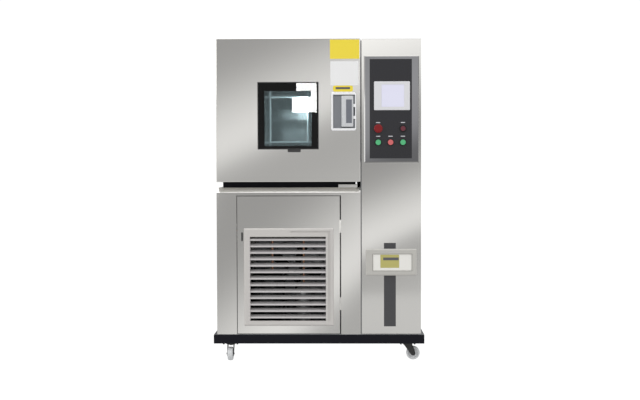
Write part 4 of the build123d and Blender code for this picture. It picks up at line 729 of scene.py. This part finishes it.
@dataclass(frozen=True)
class SoftBox:
    """A square soft light that points at the object."""

    name: str
    place: Point
    target: Point
    size: float
    power: float

    def build(self) -> None:
        """Makes the light and aims it."""
        data = bpy.data.lights.new(self.name, "AREA")
        data.shape = "SQUARE"
        data.size = self.size
        data.energy = self.power
        lamp = bpy.data.objects.new(self.name, data)
        lamp.location = self.place
        aim = Vector(self.target) - Vector(self.place)
        lamp.rotation_euler = aim.to_track_quat("-Z", "Y").to_euler()
        bpy.context.scene.collection.objects.link(lamp)
        LOG.info("light %s", self.name)


@dataclass
class Room:
    """A soft white room, with a slanted bright field before the object that its front mirrors."""

    backdrop: float = 1.05
    least_front: float = 0.05
    ramp_start: float = 0.3
    ramp_scale: float = 0.5
    # Height in the field and its brightness there
    levels: tuple[Span, ...] = (
        (0.30, 0.84),
        (0.50, 0.79),
        (0.62, 0.70),
        (0.75, 0.61),
        (0.94, 0.53),
        (1.05, 0.49),
        (1.09, 0.51),
        (1.13, 1.00),
        (1.20, 1.15),
        (1.28, 1.00),
        (1.36, 0.85),
        (1.43, 0.72),
        (1.50, 0.56),
        (1.57, 0.47),
        (1.66, 0.42),
        (1.90, 0.41),
        (2.10, 0.54),
        (2.30, 0.88),
        (2.50, 1.08),
        (3.20, 1.45),
    )

    def build(self) -> None:
        """Makes the world: the camera sees plain white, and everything else the room."""
        world = bpy.data.worlds.new("studio")
        bpy.context.scene.world = world
        world.use_nodes = True
        tree = world.node_tree
        tree.nodes.clear()
        ramp = self._ramp(tree)
        tree.links.new(self._field_place(tree), ramp.inputs["Fac"])
        path = tree.nodes.new("ShaderNodeLightPath")
        back = tree.nodes.new("ShaderNodeBackground")
        back.inputs["Color"].default_value = (1.0, 1.0, 1.0, 1.0)
        back.inputs["Strength"].default_value = self.backdrop
        soft = tree.nodes.new("ShaderNodeBackground")
        tree.links.new(ramp.outputs["Color"], soft.inputs["Color"])
        mix = tree.nodes.new("ShaderNodeMixShader")
        tree.links.new(path.outputs["Is Camera Ray"], mix.inputs["Fac"])
        tree.links.new(soft.outputs[0], mix.inputs[1])
        tree.links.new(back.outputs[0], mix.inputs[2])
        out = tree.nodes.new("ShaderNodeOutputWorld")
        tree.links.new(mix.outputs[0], out.inputs["Surface"])
        LOG.info("room")

    def _field_place(self, tree: bpy.types.NodeTree) -> bpy.types.NodeSocket:
        """Adds the nodes that say where in the field a direction looks.

        Args:
            tree: node tree of the world.

        Returns:
            The socket with the place on the ramp.
        """
        place = tree.nodes.new("ShaderNodeTexCoord")
        split = tree.nodes.new("ShaderNodeSeparateXYZ")
        tree.links.new(place.outputs["Generated"], split.inputs[0])
        x, y, z = split.outputs
        towards = self._maths(tree, "MULTIPLY", y, -1.0)
        front = self._maths(tree, "MAXIMUM", towards, self.least_front)
        across = self._maths(tree, "DIVIDE", x, front)
        up = self._maths(tree, "DIVIDE", z, front)
        slope = self._maths(tree, "MULTIPLY", across, FIELD_SLANT)
        slant = self._maths(tree, "SUBTRACT", up, slope)
        return self._maths(tree, "MULTIPLY_ADD", slant, self.ramp_scale, self.ramp_start)

    @staticmethod
    def _maths(
        tree: bpy.types.NodeTree, kind: str, *values: bpy.types.NodeSocket | float
    ) -> bpy.types.NodeSocket:
        """Adds a math node.

        Args:
            tree: node tree of the world.
            kind: its operation.
            values: its inputs, as numbers or as sockets.

        Returns:
            Its output.
        """
        node = tree.nodes.new("ShaderNodeMath")
        node.operation = kind
        for index, value in enumerate(values):
            if isinstance(value, float):
                node.inputs[index].default_value = value
            else:
                tree.links.new(value, node.inputs[index])
        return node.outputs[0]

    def _ramp(self, tree: bpy.types.NodeTree) -> bpy.types.ShaderNode:
        """Adds the ramp with the brightness of the field at each level.

        Args:
            tree: node tree of the world.

        Returns:
            The ramp node.
        """
        ramp = tree.nodes.new("ShaderNodeValToRGB")
        ramp.color_ramp.interpolation = "LINEAR"
        elements = ramp.color_ramp.elements
        while len(elements) > 1:
            elements.remove(elements[-1])
        stop = elements[0]
        for index, (level, value) in enumerate(self.levels):
            share = self.ramp_scale * FIELD_RATE
            position = self.ramp_start + share * (level - FIELD_EDGE)
            if index:
                stop = elements.new(position)
            stop.position = position
            stop.color = (value, value, value, 1.0)
        return ramp


@dataclass
class Studio:
    """Floor, soft lights, room and camera."""

    camera_place: Point = (0.085, -5.1397, 0.8903)
    pitch: float = 0.03
    yaw: float = -0.0169
    roll: float = -0.0026
    focal_pixels: float = 1000.0
    picture_width: float = 640.0
    sensor: float = 36.0
    floor_half: float = 2.2
    floor_mirrored: float = 0.62
    floor_finish: Finish = Finish(
        "studio_floor", (0.10, 0.10, 0.10), roughness=0.9, specular=0.0, glow=1.0
    )
    soft_boxes: tuple[SoftBox, ...] = (
        SoftBox("key_left", (-3.2, -3.6, 2.6), (-0.2, 0.0, 0.8), size=2.0, power=26.0),
        SoftBox("key_right", (3.4, -2.6, 2.4), (0.2, 0.0, 0.8), size=2.0, power=20.0),
        SoftBox("top", (0.0, -0.5, 4.2), (0.0, 0.0, 0.8), size=3.0, power=26.0),
        SoftBox("back", (1.5, 4.0, 2.6), (0.0, 0.0, 0.8), size=2.4, power=30.0),
    )

    def build(self) -> None:
        """Makes everything round the object."""
        self._floor()
        Room().build()
        for box in self.soft_boxes:
            box.build()
        self._camera()

    def _floor(self) -> None:
        """Makes a plain pale floor that is dimmer in the object's mirror than to the camera."""
        half = self.floor_half
        points = [(-half, -half, 0.0), (half, -half, 0.0), (half, half, 0.0), (-half, half, 0.0)]
        floor = mesh_object("studio_floor", points, [(0, 1, 2, 3)], self.floor_finish)
        tree = floor.data.materials[0].node_tree
        path = tree.nodes.new("ShaderNodeLightPath")
        level = tree.nodes.new("ShaderNodeMapRange")
        level.inputs["To Min"].default_value = self.floor_mirrored
        level.inputs["To Max"].default_value = 1.0
        tree.links.new(path.outputs["Is Camera Ray"], level.inputs["Value"])
        tree.links.new(level.outputs["Result"], tree.nodes[SHADER].inputs["Emission Strength"])
        LOG.info("floor")

    def _camera(self) -> None:
        """Makes the camera at the photograph's viewing angle."""
        data = bpy.data.cameras.new("camera")
        data.sensor_width = self.sensor
        data.lens = self.focal_pixels / self.picture_width * self.sensor
        camera = bpy.data.objects.new("camera", data)
        forward = Vector(
            (
                math.sin(self.yaw) * math.cos(self.pitch),
                math.cos(self.yaw) * math.cos(self.pitch),
                -math.sin(self.pitch),
            )
        )
        level = Vector((math.cos(self.yaw), -math.sin(self.yaw), 0.0))
        upright = level.cross(forward)
        right = level * math.cos(self.roll) + upright * math.sin(self.roll)
        up = upright * math.cos(self.roll) - level * math.sin(self.roll)
        turn = Matrix((right, up, -forward)).transposed()
        camera.matrix_world = Matrix.Translation(self.camera_place) @ turn.to_4x4()
        bpy.context.scene.collection.objects.link(camera)
        bpy.context.scene.camera = camera
        bpy.context.scene.view_settings.view_transform = "Standard"
        LOG.info("camera")


def main() -> None:
    """Loads the frame, dresses it and sets up the studio."""
    logging.basicConfig(level=logging.INFO)
    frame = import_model()
    NodeDresser(frame).dress()
    Labels().build()
    ControlDetails().build()
    WindowGlare().build()
    Studio().build()


if __name__ == "__main__":
    main()
